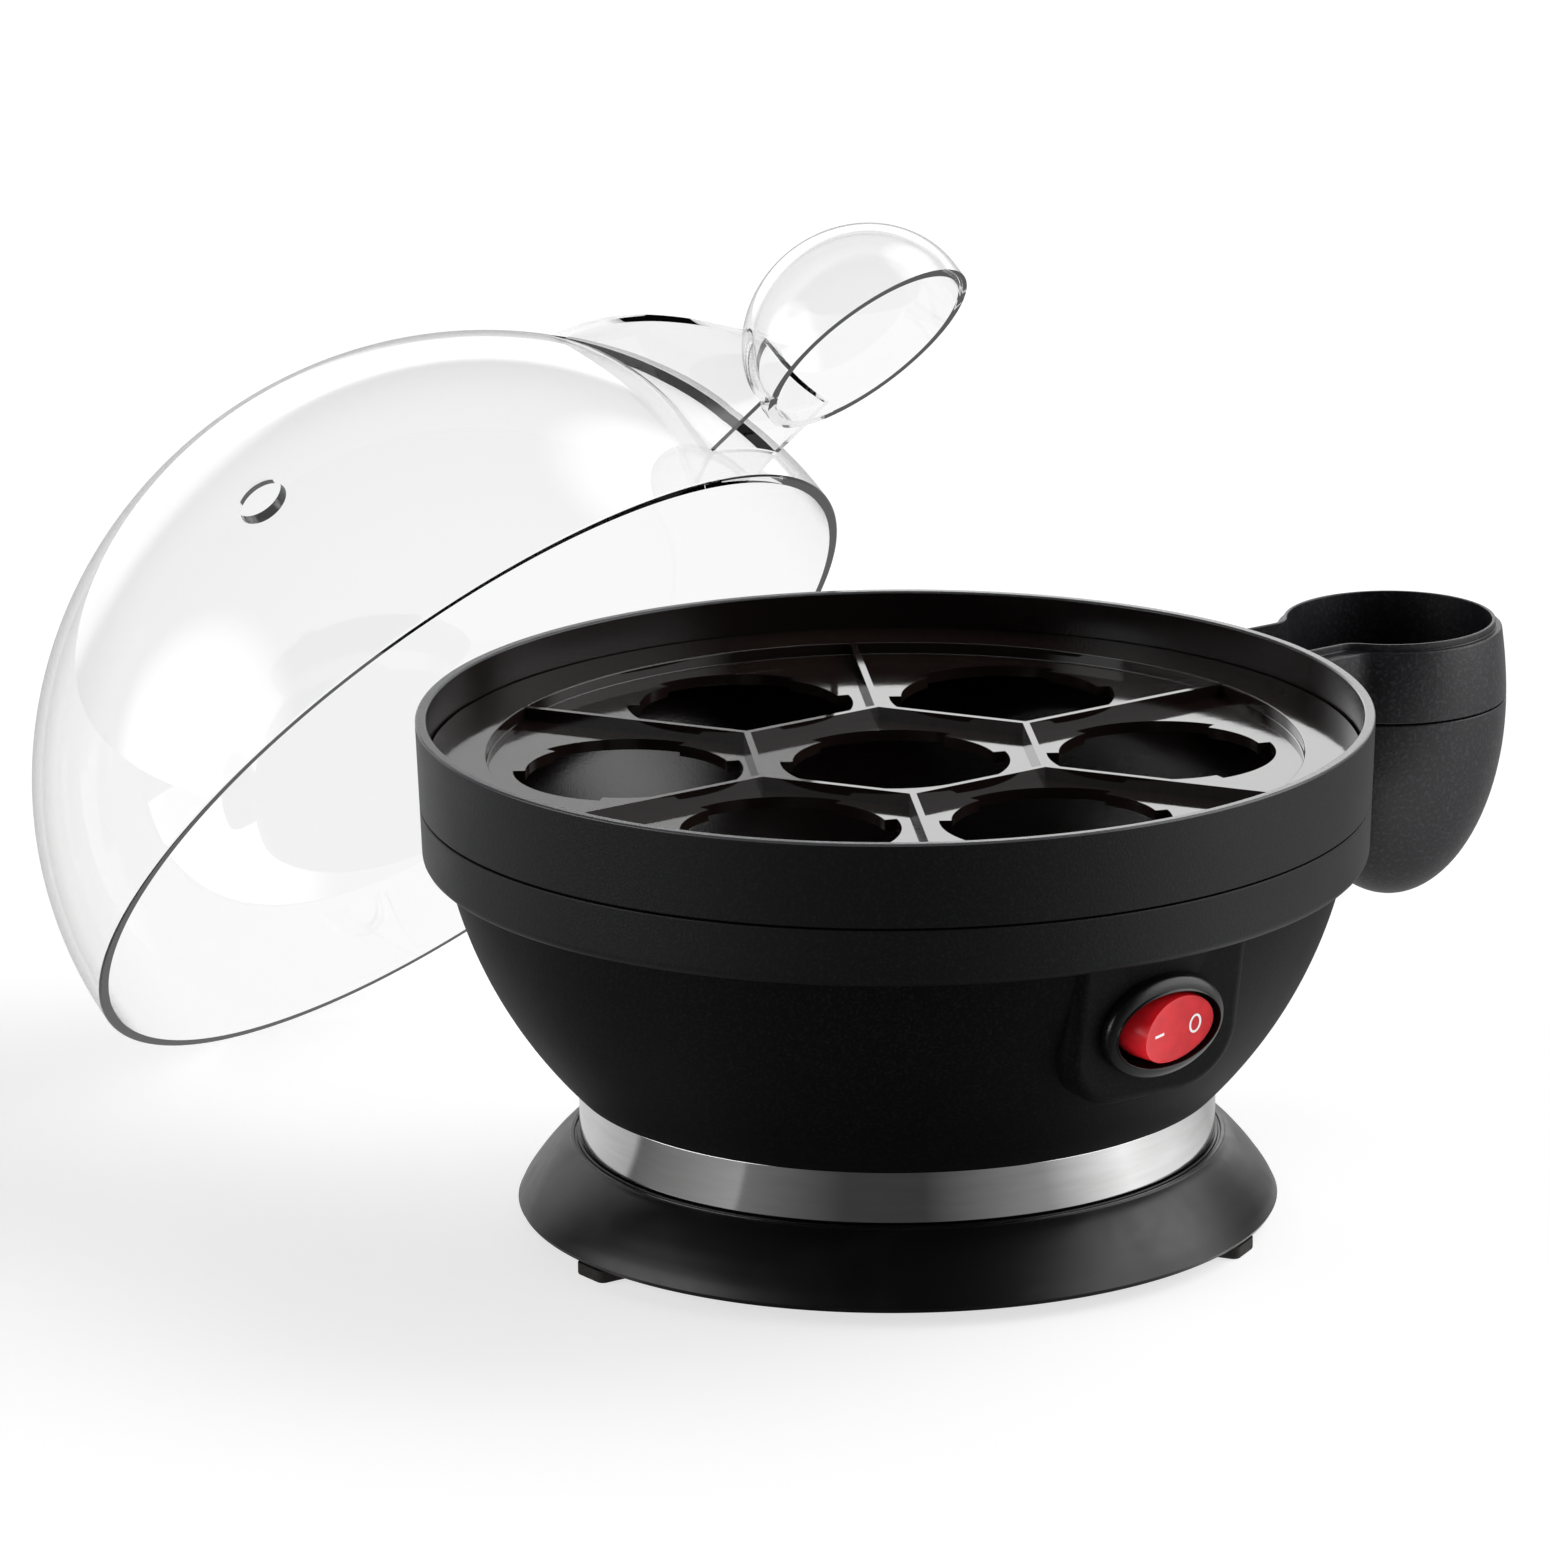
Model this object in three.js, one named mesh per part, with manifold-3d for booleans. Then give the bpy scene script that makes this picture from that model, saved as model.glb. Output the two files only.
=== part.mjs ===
// Electric egg cooker for seven eggs, in millimetres, +Z up.
// The origin is the centre of the flat underside of the bottom cover, on the bowl's axis.
// The tail cup points along +X and the rocker switch faces -Y.
// The clear lid has been taken off: it stands on the table and leans towards the back of the ring.
import * as THREE from 'three';
import { mergeVertices } from 'three/addons/utils/BufferGeometryUtils.js';
import Module from 'manifold-3d';

const wasm = await Module();
wasm.setup();

// ---------------------------------------------------------------- driving dimensions
const FIT = 0.3;                 // gap left between two pieces that touch
const AROUND = 36;               // facets around the large turned pieces
const MID_AROUND = 22;           // facets around the cup and its cover
const SMALL_AROUND = 12;         // facets around screws, bosses and other small turned pieces

const RING_R = 85;               // upper ring, outside radius at its top edge
const RING_DRAFT = 1;            // how far the mould's draft draws the band in at its lower edge
const RING_FOOT_R = RING_R - RING_DRAFT;
const RING_WALL = 2;
const RING_TOP = 89.7;
const SEAM_Z = 74.4;             // split line between the two housing mouldings
const RING_BOTTOM = 63.8;
const RING_CORNER = 2.5;         // round on the lower outside corner of the band
const SPIGOT_H = 3;              // locating rib of the lower housing inside the upper ring
const SPIGOT_T = 1.5;

const BOWL_STEP = 3.4;           // how far the bowl's sphere stands in from the ring
const BOWL_R = RING_R - BOWL_STEP;
const BOWL_CENTRE_Z = 80.3;
const BOWL_WALL = 2;
const BOWL_BOTTOM = 22.6;
const COLLAR_R = 55.9;           // neck below the bowl that carries the steel band
const COLLAR_WALL = 2;
const COLLAR_BOTTOM = 5;

const SHELF_Z = 82.9;            // top of the egg rack's flat border
const RACK_T = 2;
const RACK_RECESS_DEPTH = 2.2;
const RIB_T = 1.2;
const HEX_APOTHEM = 25;          // six-sided rib around the middle seat
const SEAT_PITCH_R = 47.5;       // circle that the six outer seats lie on
const SEAT_WIDE_R = 20.4;        // each seat is three wide arcs and three narrow arcs
const SEAT_NARROW_R = 18.2;
const SEAT_WIDE_ARC = 76;        // degrees
const SEAT_FIRST_ARC = 25;       // degrees, where the first wide arc starts
const LEDGE_W = 8;               // ledge of the upper housing that the rack's border rests on
const LEDGE_T = 2;
const RACK_PLAY = 0.5;           // between the rack's tray and the ledge around it
const RACK_RECESS_R = RING_R - RING_WALL - LEDGE_W - RACK_PLAY - RACK_T;   // round recess of the seats

const FUNNEL_LIP_DROP = 3.1;     // straight neck under the ledge before the funnel slopes in
const FUNNEL_FOOT_Z = 46;        // seat of the heating plate
const PLATE_HOLE_R = 45.5;
const PLATE_SEAT_W = 3.5;
const FUNNEL_WALL = 2;

const SEAL_T = 1;
const PLATE_T = 0.8;
const PLATE_DEPTH = 6.8;
const SPREADER_R = 38;
const SPREADER_T = 1.5;
const ELEMENT_RING_R = 27;
const ELEMENT_R = 3.2;
const ELEMENT_ARC = 300;         // degrees of the ring that the element covers
const ELEMENT_TAIL = 9;          // how far its cold ends reach down
const CLAMP_T = 1.3;
const CLAMP_HOLE_R = 10;
const CLAMP_SCREW_PITCH_R = 16;
const THERMOSTAT_R = 8;

const CUP_REACH = 26.6;          // axis of the tail cup, out from the ring
const CUP_X = RING_R + CUP_REACH;
const CUP_R = 21.4;
const CUP_HEIGHT = 37.7;         // from the cup's widest level down to its outside bottom
const CUP_LEDGE_DROP = 2.1;      // ledge around the lip, below the ring's top
const CUP_LIP_DROP = 0.8;        // top of the lip, below the ring's top
const CUP_WELL_R = 18.7;
const CUP_LIP_T = 0.9;
const NECK_HALF = 13;            // half width of the neck that joins the cup to the ring
const NECK_WELL_HALF = 9.1;
const NECK_FILLET = 5;
const NECK_FLOOR_T = 2;

const LID_H = 79;
const LID_WALL = 2;
const LID_PLAY = 1;              // play between the closed lid's rim and the ring
const TAIL_LID_OVER = 0.6;       // how far the tail cover stands out past the cup
const TAIL_LID_R = CUP_R + TAIL_LID_OVER;
const TAIL_LID_H = 20;
const TAIL_LID_SKIRT = 2.8;      // straight band at the tail cover's rim
const TAIL_LID_WALL = 2;
const BRIDGE_HALF = 13;          // half width of the ridge that joins the dome to the tail cover
const BRIDGE_BULGE = 1.3;        // 1 gives a gable, 2 a round arch
const BRIDGE_CREST = [[-25, 44.4], [-21, 42.5], [-15, 40.1], [-9.5, 36.9], [-3.5, 32.1], [2, 26.5],
  [7, 20.4], [11.5, 14.3], [16, 8.4]];      // ridge line: out from the ring, up from the ridge's foot
const STEAM_HOLE_R = 5;
const STEAM_HOLE_AT = [-11, 18]; // place of the steam hole on the dome, seen from above
const LID_LEAN = 48.6;           // degrees between the leaning rim and the table
const LID_FACING = -77.1;        // degrees, where the open side faces
const LID_TURN = 18.5;           // degrees that the tail is turned away from the upper end of the slope
const LID_NEAR = 54.7887;        // how far the ring's back edge reaches in under the leaning lid
const LID_AWAY = RING_TOP / Math.tan(LID_LEAN * Math.PI / 180) - LID_NEAR;   // rim's centre, out from the ring
const LID_ASIDE = 99.4797;       // degrees, its direction from the axis

const BAND_T = 0.6;              // brushed steel trim band
const SKIRT_TOP = 12.6;
const SKIRT_R = 67.9;
const SKIRT_OVER = 2.5;          // how far the skirt's top stands out past the collar
const SKIRT_TOP_R = COLLAR_R + SKIRT_OVER;
const SKIRT_SLEEVE_H = 4.6;
const COVER_R = SKIRT_R - 2.6;
const COVER_T = 2;
const FOOT_H = 2.6;              // how far the feet stand out below the cover
const FOOT_W = 8;
const FOOT_OUT_R = SKIRT_R - 0.5;
const FOOT_L = 7.9;
const FOOT_IN_R = FOOT_OUT_R - FOOT_L;
const FOOT_PEG_R = 1.6;
const FOOT_PEG_IN = 1.7;         // peg's centre, in from the foot's inner end
const FOOT_PEG_UP = 0.6;         // how far the peg stands above the cover
const FOOT_ANGLES = [180, -60, 60];
const BOSS_INSET = 5.4;
const BOSS_PITCH_R = COLLAR_R - BOSS_INSET;
const BOSS_R = 4;
const BOSS_ANGLES = [150, 30, -90];
const SCREW_R = 1.4;
const SCREW_HEAD_R = 3.2;
const SCREW_HEAD_H = 1.2;
const SCREW_REACH = 11;

const SWITCH_Z = 50.9;           // centre of the switch
const SWITCH_PROUD = 0.8804;     // pad's face, out from the bowl at the same height
const SWITCH_OUT = Math.sqrt(BOWL_R ** 2 - (BOWL_CENTRE_Z - SWITCH_Z) ** 2) + SWITCH_PROUD;
const SWITCH_TILT = 10;          // degrees that the pad looks down
const ROCKER_WELL_W = 22;
const ROCKER_WELL_H = 14.2;
const ROCKER_W = ROCKER_WELL_W - 2.9;      // room for the rocker to tip
const ROCKER_H = ROCKER_WELL_H - 1.3;
const BODY_W = ROCKER_WELL_W + 1.6;        // two walls around the well
const BODY_H = ROCKER_WELL_H + 2.6;
const BEZEL_W = ROCKER_WELL_W + 3.4;
const BEZEL_H = ROCKER_WELL_H + 5.2;
const PAD_HALF = BEZEL_W / 2 + 3.3;
const PAD_DOWN = 12.5;
const PAD_UP = 12;
const PAD_ROUND = 9;
const PAD_BEVEL = 2.4;
const PAD_DEPTH = 9;
const BEZEL_PROUD = 3.2;
const BODY_DEPTH = 13;
const ROCKER_WELL_DEPTH = 9;
const ROCKER_TOP = 4.2;
const ROCKER_SLANT = 1;           // how far each end of the rocker leans in
const ROCKER_BELOW = 6.5;
const ROCKER_PIVOT = 4;          // pivot's depth below the pad's face
const ROCKER_ANGLE = 10.5;       // degrees to either side of level; the rocker rests on "off"
const ROCKER_PIN_R = 1.2;
const BLADE = [4.8, 0.8, 6];     // switch terminals: width, thickness, length
const BLADE_X = 6;
const BLADE_DOWN = 4.5;

const INLET_Z = 30;              // cord inlet at the back
const INLET_PROUD = 6.2468;      // inlet's face, out from the bowl at the same height
const INLET_OUT = Math.sqrt(BOWL_R ** 2 - (BOWL_CENTRE_Z - INLET_Z) ** 2) + INLET_PROUD;
const INLET_BOSS_R = 7;
const INLET_HOLE_R = 5;
const INLET_BORE_R = 3.5;
const INLET_FLANGE_R = 6.6;
const INLET_FLANGE_T = 1.7;
const INLET_BARREL = 10;

const BLOCK = [24, 10, 9];       // terminal block on the cover
const BLOCK_Y = 34;
const FUSE_R = 2.2;
const FUSE_L = 13;
const FUSE_Y = 21;
const LEAD_R = 1.1;
const LEAD_STUB = 3;             // straight stretch of a lead at each terminal
const THERMOSTAT_BLADE_X = 4;
const THERMOSTAT_BLADE_L = 6.5;

// ---------------------------------------------------------------- materials
const finish = (color, roughness, metalness = 0, more = {}) =>
  new THREE.MeshStandardMaterial({ color, roughness, metalness, ...more });
const blackShell = finish(0x1b1c1d, 0.62);
const blackSatin = finish(0x121214, 0.35);
const rackBrown = finish(0x2b2220, 0.12);
const clearPlastic = finish(0xf2f5f6, 0.05, 0, { transparent: true, opacity: 0.3 });
const steel = finish(0xb9bbbc, 0.3, 1);
const aluminium = finish(0xa9abad, 0.45, 1);
const rubber = finish(0x1d1714, 0.8);
const silicone = finish(0xa8432c, 0.6);
const redClear = finish(0xc8141a, 0.25);
const brass = finish(0xb99a4f, 0.35, 1);
const ceramic = finish(0xd9d3c4, 0.6);
const brownLead = finish(0x5b3620, 0.55);
const blueLead = finish(0x2a4fa0, 0.55);

// ---------------------------------------------------------------- making solids
const rad = THREE.MathUtils.degToRad;

// A closed manifold-3d solid from a three.js geometry, with its faces pointing out.
function solid(geometry) {
  let bare = geometry.clone();
  for (const name of Object.keys(bare.attributes)) if (name !== 'position') bare.deleteAttribute(name);
  bare = mergeVertices(bare, 1e-4);
  const place = bare.attributes.position;
  const index = bare.index.array;
  const faces = [];
  for (let i = 0; i < index.length; i += 3) {
    const [a, b, c] = [index[i], index[i + 1], index[i + 2]];
    if (a !== b && b !== c && c !== a) faces.push([a, b, c]);
  }
  const at = (i) => new THREE.Vector3().fromBufferAttribute(place, i);
  const volume = faces.reduce((sum, [a, b, c]) => sum + at(a).dot(at(b).cross(at(c))), 0);
  if (volume < 0) for (const face of faces) face.reverse();
  return new wasm.Manifold(new wasm.Mesh({
    numProp: 3,
    vertProperties: new Float32Array(place.array),
    triVerts: new Uint32Array(faces.flat()),
  }));
}

// A turned piece: the profile is a closed loop of [radius, height] points.
function turned(profile, around = AROUND) {
  const points = [...profile, profile[0]].map(([r, z]) => new THREE.Vector2(r, z));
  return solid(new THREE.LatheGeometry(points, around).rotateX(Math.PI / 2));
}

// An extruded outline from height low to height high.
function prism(shape, low, high, more = {}) {
  const options = { depth: high - low, bevelEnabled: false, curveSegments: 8, ...more };
  return solid(new THREE.ExtrudeGeometry(shape, options).translate(0, 0, low));
}

function block(x, y, z) {
  const size = [x[1] - x[0], y[1] - y[0], z[1] - z[0]];
  const middle = [(x[0] + x[1]) / 2, (y[0] + y[1]) / 2, (z[0] + z[1]) / 2];
  return solid(new THREE.BoxGeometry(...size).translate(...middle));
}

// An upright round bar at a place seen from above.
function bar(r, low, high, x = 0, y = 0, around = SMALL_AROUND) {
  const geometry = new THREE.CylinderGeometry(r, r, high - low, around);
  return solid(geometry.rotateX(Math.PI / 2).translate(x, y, (low + high) / 2));
}

// Points on an ellipse in the profile plane, from one angle to another in degrees.
function arc(centreR, centreZ, radiusR, radiusZ, from, to, steps) {
  return Array.from({ length: steps + 1 }, (_, i) => {
    const a = rad(from + (to - from) * i / steps);
    return [centreR + radiusR * Math.cos(a), centreZ + radiusZ * Math.sin(a)];
  });
}

const polar = (r, degrees) => [r * Math.cos(rad(degrees)), r * Math.sin(rad(degrees))];
const joined = (solids) => solids.reduce((all, next) => all.add(next));
const moved = (shape, matrix) => shape.transform(matrix.elements);

const object = new THREE.Group();

// One named mesh, in the object or in a turned group.
function piece(name, shape, material, parent = object) {
  const made = shape.getMesh();
  const geometry = new THREE.BufferGeometry();
  geometry.setAttribute('position', new THREE.BufferAttribute(made.vertProperties, 3));
  geometry.setIndex(new THREE.BufferAttribute(made.triVerts, 1));
  geometry.computeVertexNormals();
  const mesh = new THREE.Mesh(geometry, material);
  mesh.name = name;
  parent.add(mesh);
  return mesh;
}

// ---------------------------------------------------------------- shared places
const ringRadius = (z) =>
  RING_FOOT_R + (RING_R - RING_FOOT_R) * (z - RING_BOTTOM) / (RING_TOP - RING_BOTTOM);
const seamLow = SEAM_Z - FIT / 2;
const seamHigh = SEAM_Z + FIT / 2;
const ringInside = RING_R - RING_WALL;
const ledgeTop = SHELF_Z - RACK_T - FIT;
const ledgeHoleR = ringInside - LEDGE_W;
const funnelTop = ledgeTop - FUNNEL_LIP_DROP;
const funnelFootR = PLATE_HOLE_R + PLATE_SEAT_W;
const tableZ = -FOOT_H;

// The tail's outline: a neck that leaves the ring square and a round cup, with fillets between them.
function tailOutline(half, radius, start) {
  const fillet = NECK_FILLET;
  const dy = half + fillet;
  const dx = Math.sqrt((radius + fillet) ** 2 - dy ** 2);
  const turn = Math.atan2(dy, dx);
  const shape = new THREE.Shape();
  shape.moveTo(start, -half);
  shape.lineTo(CUP_X - dx, -half);
  shape.absarc(CUP_X - dx, -dy, fillet, Math.PI / 2, turn, true);
  shape.absarc(CUP_X, 0, radius, Math.PI + turn, 3 * Math.PI - turn, false);
  shape.absarc(CUP_X - dx, dy, fillet, -turn, -Math.PI / 2, true);
  shape.lineTo(start, half);
  return shape;
}

// ---------------------------------------------------------------- housings
const cupWideZ = SEAM_Z + 0.3;
const cupLedgeZ = RING_TOP - CUP_LEDGE_DROP;
const cupLipZ = RING_TOP - CUP_LIP_DROP;
const cupWall = CUP_R - CUP_WELL_R;

function cupBulb(radius, height, top) {
  const low = arc(0, cupWideZ, radius, height, -90, 0, 5);
  return turned([...low, [radius, top], [0, top]], MID_AROUND).translate([CUP_X, 0, 0]);
}

// Everything of the tail outside the ring, hollowed by its well, before the split at the seam.
function tail() {
  const start = RING_R - RING_WALL;
  const shell = joined([
    cupBulb(CUP_R, CUP_HEIGHT, cupLedgeZ),
    prism(tailOutline(NECK_HALF, CUP_R, start), RING_BOTTOM, cupLedgeZ),
    prism(tailOutline(NECK_WELL_HALF + CUP_LIP_T, CUP_WELL_R + CUP_LIP_T, start), cupWideZ, cupLipZ),
  ]);
  const well = joined([
    cupBulb(CUP_WELL_R, CUP_HEIGHT - cupWall, RING_TOP + 1),
    prism(tailOutline(NECK_WELL_HALF, CUP_WELL_R, start - 1), RING_BOTTOM + NECK_FLOOR_T, RING_TOP + 1),
  ]);
  return shell.subtract(well);
}

const beyond = 200;
const above = block([-beyond, beyond], [-beyond, beyond], [seamHigh, beyond]);
const below = block([-beyond, beyond], [-beyond, beyond], [-beyond, seamLow]);
const tailShell = tail();
const insideRing = (low, high, r) => bar(r, low, high, 0, 0, AROUND);

function upperHousing() {
  const slope = Math.atan2(ledgeHoleR - funnelFootR, funnelTop - FUNNEL_FOOT_Z);
  const outR = FUNNEL_WALL * Math.cos(slope);
  const outZ = FUNNEL_WALL * Math.sin(slope);
  const profile = [
    [ringRadius(seamHigh), seamHigh], [RING_R, RING_TOP - 0.5], [RING_R - 0.5, RING_TOP],
    [ringInside, RING_TOP], [ringInside, ledgeTop], [ledgeHoleR, ledgeTop], [ledgeHoleR, funnelTop],
    [funnelFootR, FUNNEL_FOOT_Z], [PLATE_HOLE_R, FUNNEL_FOOT_Z],
    [PLATE_HOLE_R, FUNNEL_FOOT_Z - FUNNEL_WALL], [funnelFootR + outR - 0.5, FUNNEL_FOOT_Z - FUNNEL_WALL],
    [ledgeHoleR + outR, funnelTop - outZ], [ledgeHoleR + FUNNEL_WALL, ledgeTop - LEDGE_T],
    [ringInside, ledgeTop - LEDGE_T], [ringInside, seamHigh],
  ];
  const upperTail = tailShell.intersect(above).subtract(insideRing(0, beyond, RING_R - 0.6));
  return turned(profile).add(upperTail);
}

// The switch pad's own frame: x to the right, y up along the pad, z out of its face.
const onPad = new THREE.Matrix4().makeTranslation(0, -SWITCH_OUT, SWITCH_Z)
  .multiply(new THREE.Matrix4().makeRotationX(rad(90 + SWITCH_TILT)));

function oval(width, height) {
  const shape = new THREE.Shape();
  shape.absellipse(0, 0, width / 2, height / 2, 0, 2 * Math.PI, false);
  return shape;
}

function padSolid() {
  const shape = new THREE.Shape();
  const side = PAD_HALF;
  shape.moveTo(side, PAD_UP);
  shape.lineTo(-side, PAD_UP);
  shape.lineTo(-side, PAD_ROUND - PAD_DOWN);
  shape.absarc(PAD_ROUND - side, PAD_ROUND - PAD_DOWN, PAD_ROUND, Math.PI, 1.5 * Math.PI, false);
  shape.absarc(side - PAD_ROUND, PAD_ROUND - PAD_DOWN, PAD_ROUND, 1.5 * Math.PI, 2 * Math.PI, false);
  const bevel = { bevelEnabled: true, bevelThickness: PAD_BEVEL, bevelSize: PAD_BEVEL, bevelSegments: 1,
    curveSegments: 5 };
  return moved(prism(shape, -PAD_DEPTH, -PAD_BEVEL, bevel), onPad);
}

function lowerHousing() {
  const inside = BOWL_R - BOWL_WALL;
  const bandInside = RING_FOOT_R - RING_WALL;
  const reach = (radius, z) => Math.sqrt(radius ** 2 - (BOWL_CENTRE_Z - z) ** 2);
  const angleAt = (radius, z) => THREE.MathUtils.radToDeg(Math.asin((z - BOWL_CENTRE_Z) / radius));
  const bowl = (radius, from, to, steps) =>
    arc(0, BOWL_CENTRE_Z, radius, radius, angleAt(radius, from), angleAt(radius, to), steps);
  const shelf = BOWL_BOTTOM + BOWL_WALL;
  const profile = [
    [ringRadius(seamLow), seamLow], [RING_FOOT_R, RING_BOTTOM + RING_CORNER],
    ...arc(RING_FOOT_R - RING_CORNER, RING_BOTTOM + RING_CORNER, RING_CORNER, RING_CORNER, -30, -90, 2),
    ...bowl(BOWL_R, RING_BOTTOM, BOWL_BOTTOM, 6),
    [COLLAR_R, BOWL_BOTTOM], [COLLAR_R, COLLAR_BOTTOM],
    [COLLAR_R - COLLAR_WALL, COLLAR_BOTTOM], [COLLAR_R - COLLAR_WALL, shelf],
    ...bowl(inside, shelf, RING_BOTTOM + BOWL_WALL, 4),
    [bandInside, RING_BOTTOM + BOWL_WALL], [ringInside - FIT - SPIGOT_T, seamLow - SPIGOT_H],
    [ringInside - FIT - SPIGOT_T, seamLow + SPIGOT_H], [ringInside - FIT, seamLow + SPIGOT_H],
    [ringInside - FIT, seamLow],
  ];
  const lowerTail = tailShell.intersect(below)
    .subtract(insideRing(0, beyond, RING_FOOT_R - 0.5));
  const hollow = turned([[0, shelf], [reach(inside, shelf), shelf],
    ...bowl(inside, shelf, RING_BOTTOM + BOWL_WALL, 4).slice(1),
    [reach(inside, RING_BOTTOM + BOWL_WALL), SEAM_Z], [0, SEAM_Z]]);
  const bosses = BOSS_ANGLES.map((a) => bar(BOSS_R, COVER_T + 2 * FIT, shelf, ...polar(BOSS_PITCH_R, a)));
  const inletBoss = solid(new THREE.CylinderGeometry(INLET_BOSS_R, INLET_BOSS_R, INLET_BARREL, SMALL_AROUND)
    .translate(0, INLET_OUT - INLET_BARREL / 2, INLET_Z));
  const inletHole = solid(new THREE.CylinderGeometry(INLET_HOLE_R, INLET_HOLE_R, 30, SMALL_AROUND)
    .translate(0, INLET_OUT, INLET_Z));
  const screwHole = SCREW_R + FIT;
  const holes = BOSS_ANGLES.map((a) => bar(screwHole, 0, SCREW_REACH + 2, ...polar(BOSS_PITCH_R, a)));
  const cutout = moved(prism(oval(BODY_W + 2 * FIT, BODY_H + 2 * FIT), -30, 10), onPad);
  return joined([turned(profile), lowerTail, padSolid().subtract(hollow), inletBoss.subtract(hollow), ...bosses])
    .subtract(joined([cutout, inletHole, ...holes]));
}

piece('upper_housing', upperHousing(), blackShell);
piece('lower_housing', lowerHousing(), blackShell);

// ---------------------------------------------------------------- egg rack
function seatOutline() {
  const shape = new THREE.Shape();
  for (let i = 0; i < 3; i++) {
    const start = SEAT_FIRST_ARC + 120 * i;
    shape.absarc(0, 0, SEAT_WIDE_R, rad(start), rad(start + SEAT_WIDE_ARC), false);
    shape.absarc(0, 0, SEAT_NARROW_R, rad(start + SEAT_WIDE_ARC), rad(start + 120), false);
  }
  return shape;
}

function eggRack() {
  const borderLow = SHELF_Z - RACK_T;
  const floorTop = SHELF_Z - RACK_RECESS_DEPTH;
  const floorLow = floorTop - RACK_T;
  const outer = ringInside - FIT;
  const step = RACK_RECESS_R + RACK_T;
  const tray = turned([[0, floorLow], [step, floorLow], [step, borderLow], [outer, borderLow],
    [outer, SHELF_Z], [RACK_RECESS_R, SHELF_Z], [RACK_RECESS_R, floorTop], [0, floorTop]]);
  const corner = HEX_APOTHEM / Math.cos(rad(30));
  const ribs = [];
  for (let i = 0; i < 6; i++) {
    const spoke = block([corner, RACK_RECESS_R + RACK_T / 2], [-RIB_T / 2, RIB_T / 2],
      [floorTop - 0.5, SHELF_Z]);
    const side = block([HEX_APOTHEM - RIB_T / 2, HEX_APOTHEM + RIB_T / 2], [-corner / 2, corner / 2],
      [floorTop - 0.5, SHELF_Z]);
    ribs.push(spoke.rotate([0, 0, 60 * i]), side.rotate([0, 0, 60 * i + 30]));
  }
  const seat = prism(seatOutline(), floorLow - 1, SHELF_Z + 1, { curveSegments: 5 });
  const seats = [seat];
  for (let i = 0; i < 6; i++) seats.push(seat.translate([...polar(SEAT_PITCH_R, 60 * i + 30), 0]));
  return joined([tray, ...ribs]).subtract(joined(seats));
}

piece('egg_rack', eggRack(), rackBrown);

// ---------------------------------------------------------------- lid
const lidR = ringInside - LID_PLAY;
// The lid's own frame: its rim lies on z = 0, the dome's axis is z and the tail points along x.
const lidLift = RING_TOP - SHELF_Z;                  // ring's top above the closed lid's rim
const bridgeBase = lidLift + FIT;
const tailRim = cupLedgeZ - SHELF_Z;

// The ridge: a stack of gable sections along x, each closed at its base.
function ridge(half, drop, base) {
  const steps = 4;
  const rise = Array.from({ length: steps + 1 }, (_, i) => 1 - (1 - i / steps) ** 1.5);
  const section = ([x, crest]) => {
    const height = crest - drop - base;
    const right = rise.map((s) => [x, half * (1 - s ** BRIDGE_BULGE), base + height * s]);
    return [...right, ...right.slice(0, -1).reverse().map(([a, b, c]) => [a, -b, c])];
  };
  const rows = BRIDGE_CREST.map(([x, z]) => [RING_R + x, bridgeBase + z]).map(section);
  const count = rows[0].length;
  const at = (i, j) => i * count + (j % count);
  const index = [];
  for (let i = 0; i + 1 < rows.length; i++) {
    for (let j = 0; j < count; j++) {
      index.push(at(i, j), at(i, j + 1), at(i + 1, j), at(i + 1, j), at(i, j + 1), at(i + 1, j + 1));
    }
  }
  for (let j = 1; j + 1 < count; j++) {
    index.push(at(0, 0), at(0, j + 1), at(0, j));
    index.push(at(rows.length - 1, 0), at(rows.length - 1, j), at(rows.length - 1, j + 1));
  }
  const geometry = new THREE.BufferGeometry();
  geometry.setAttribute('position', new THREE.Float32BufferAttribute(rows.flat(2), 3));
  geometry.setIndex(index);
  return solid(geometry);
}

function dome(radius, height, low) {
  return turned([[0, low], [radius, low], ...arc(0, 0, radius, height, 0, 90, 8)]);
}

function tailDome(radius, height, low) {
  const shoulder = tailRim + TAIL_LID_SKIRT;
  return turned([[0, low], [radius, low], ...arc(0, shoulder, radius, height, 0, 90, 4)], MID_AROUND)
    .translate([CUP_X, 0, 0]);
}

function lid() {
  const outside = joined([dome(lidR, LID_H, 0), ridge(BRIDGE_HALF, 0, bridgeBase),
    tailDome(TAIL_LID_R, TAIL_LID_H, tailRim)]);
  const inside = joined([dome(lidR - LID_WALL, LID_H - LID_WALL, -1),
    ridge(BRIDGE_HALF - LID_WALL, LID_WALL, bridgeBase - 0.05),
    tailDome(TAIL_LID_R - TAIL_LID_WALL, TAIL_LID_H - TAIL_LID_WALL, tailRim - 1)]);
  const steam = bar(STEAM_HOLE_R, LID_H / 2, LID_H + 5, ...STEAM_HOLE_AT);
  return outside.subtract(inside).subtract(steam);
}

const lidPlace = new THREE.Group();
const lidAt = polar(RING_R + LID_AWAY, LID_ASIDE);
lidPlace.position.set(...lidAt, tableZ + lidR * Math.sin(rad(LID_LEAN)));
lidPlace.rotation.z = rad(LID_FACING);
const lidSlope = new THREE.Group();
lidSlope.rotation.y = -rad(LID_LEAN);
const lidTurn = new THREE.Group();
lidTurn.rotation.z = rad(LID_TURN);
object.add(lidPlace);
lidPlace.add(lidSlope);
lidSlope.add(lidTurn);
piece('lid', lid(), clearPlastic, lidTurn);

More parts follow.
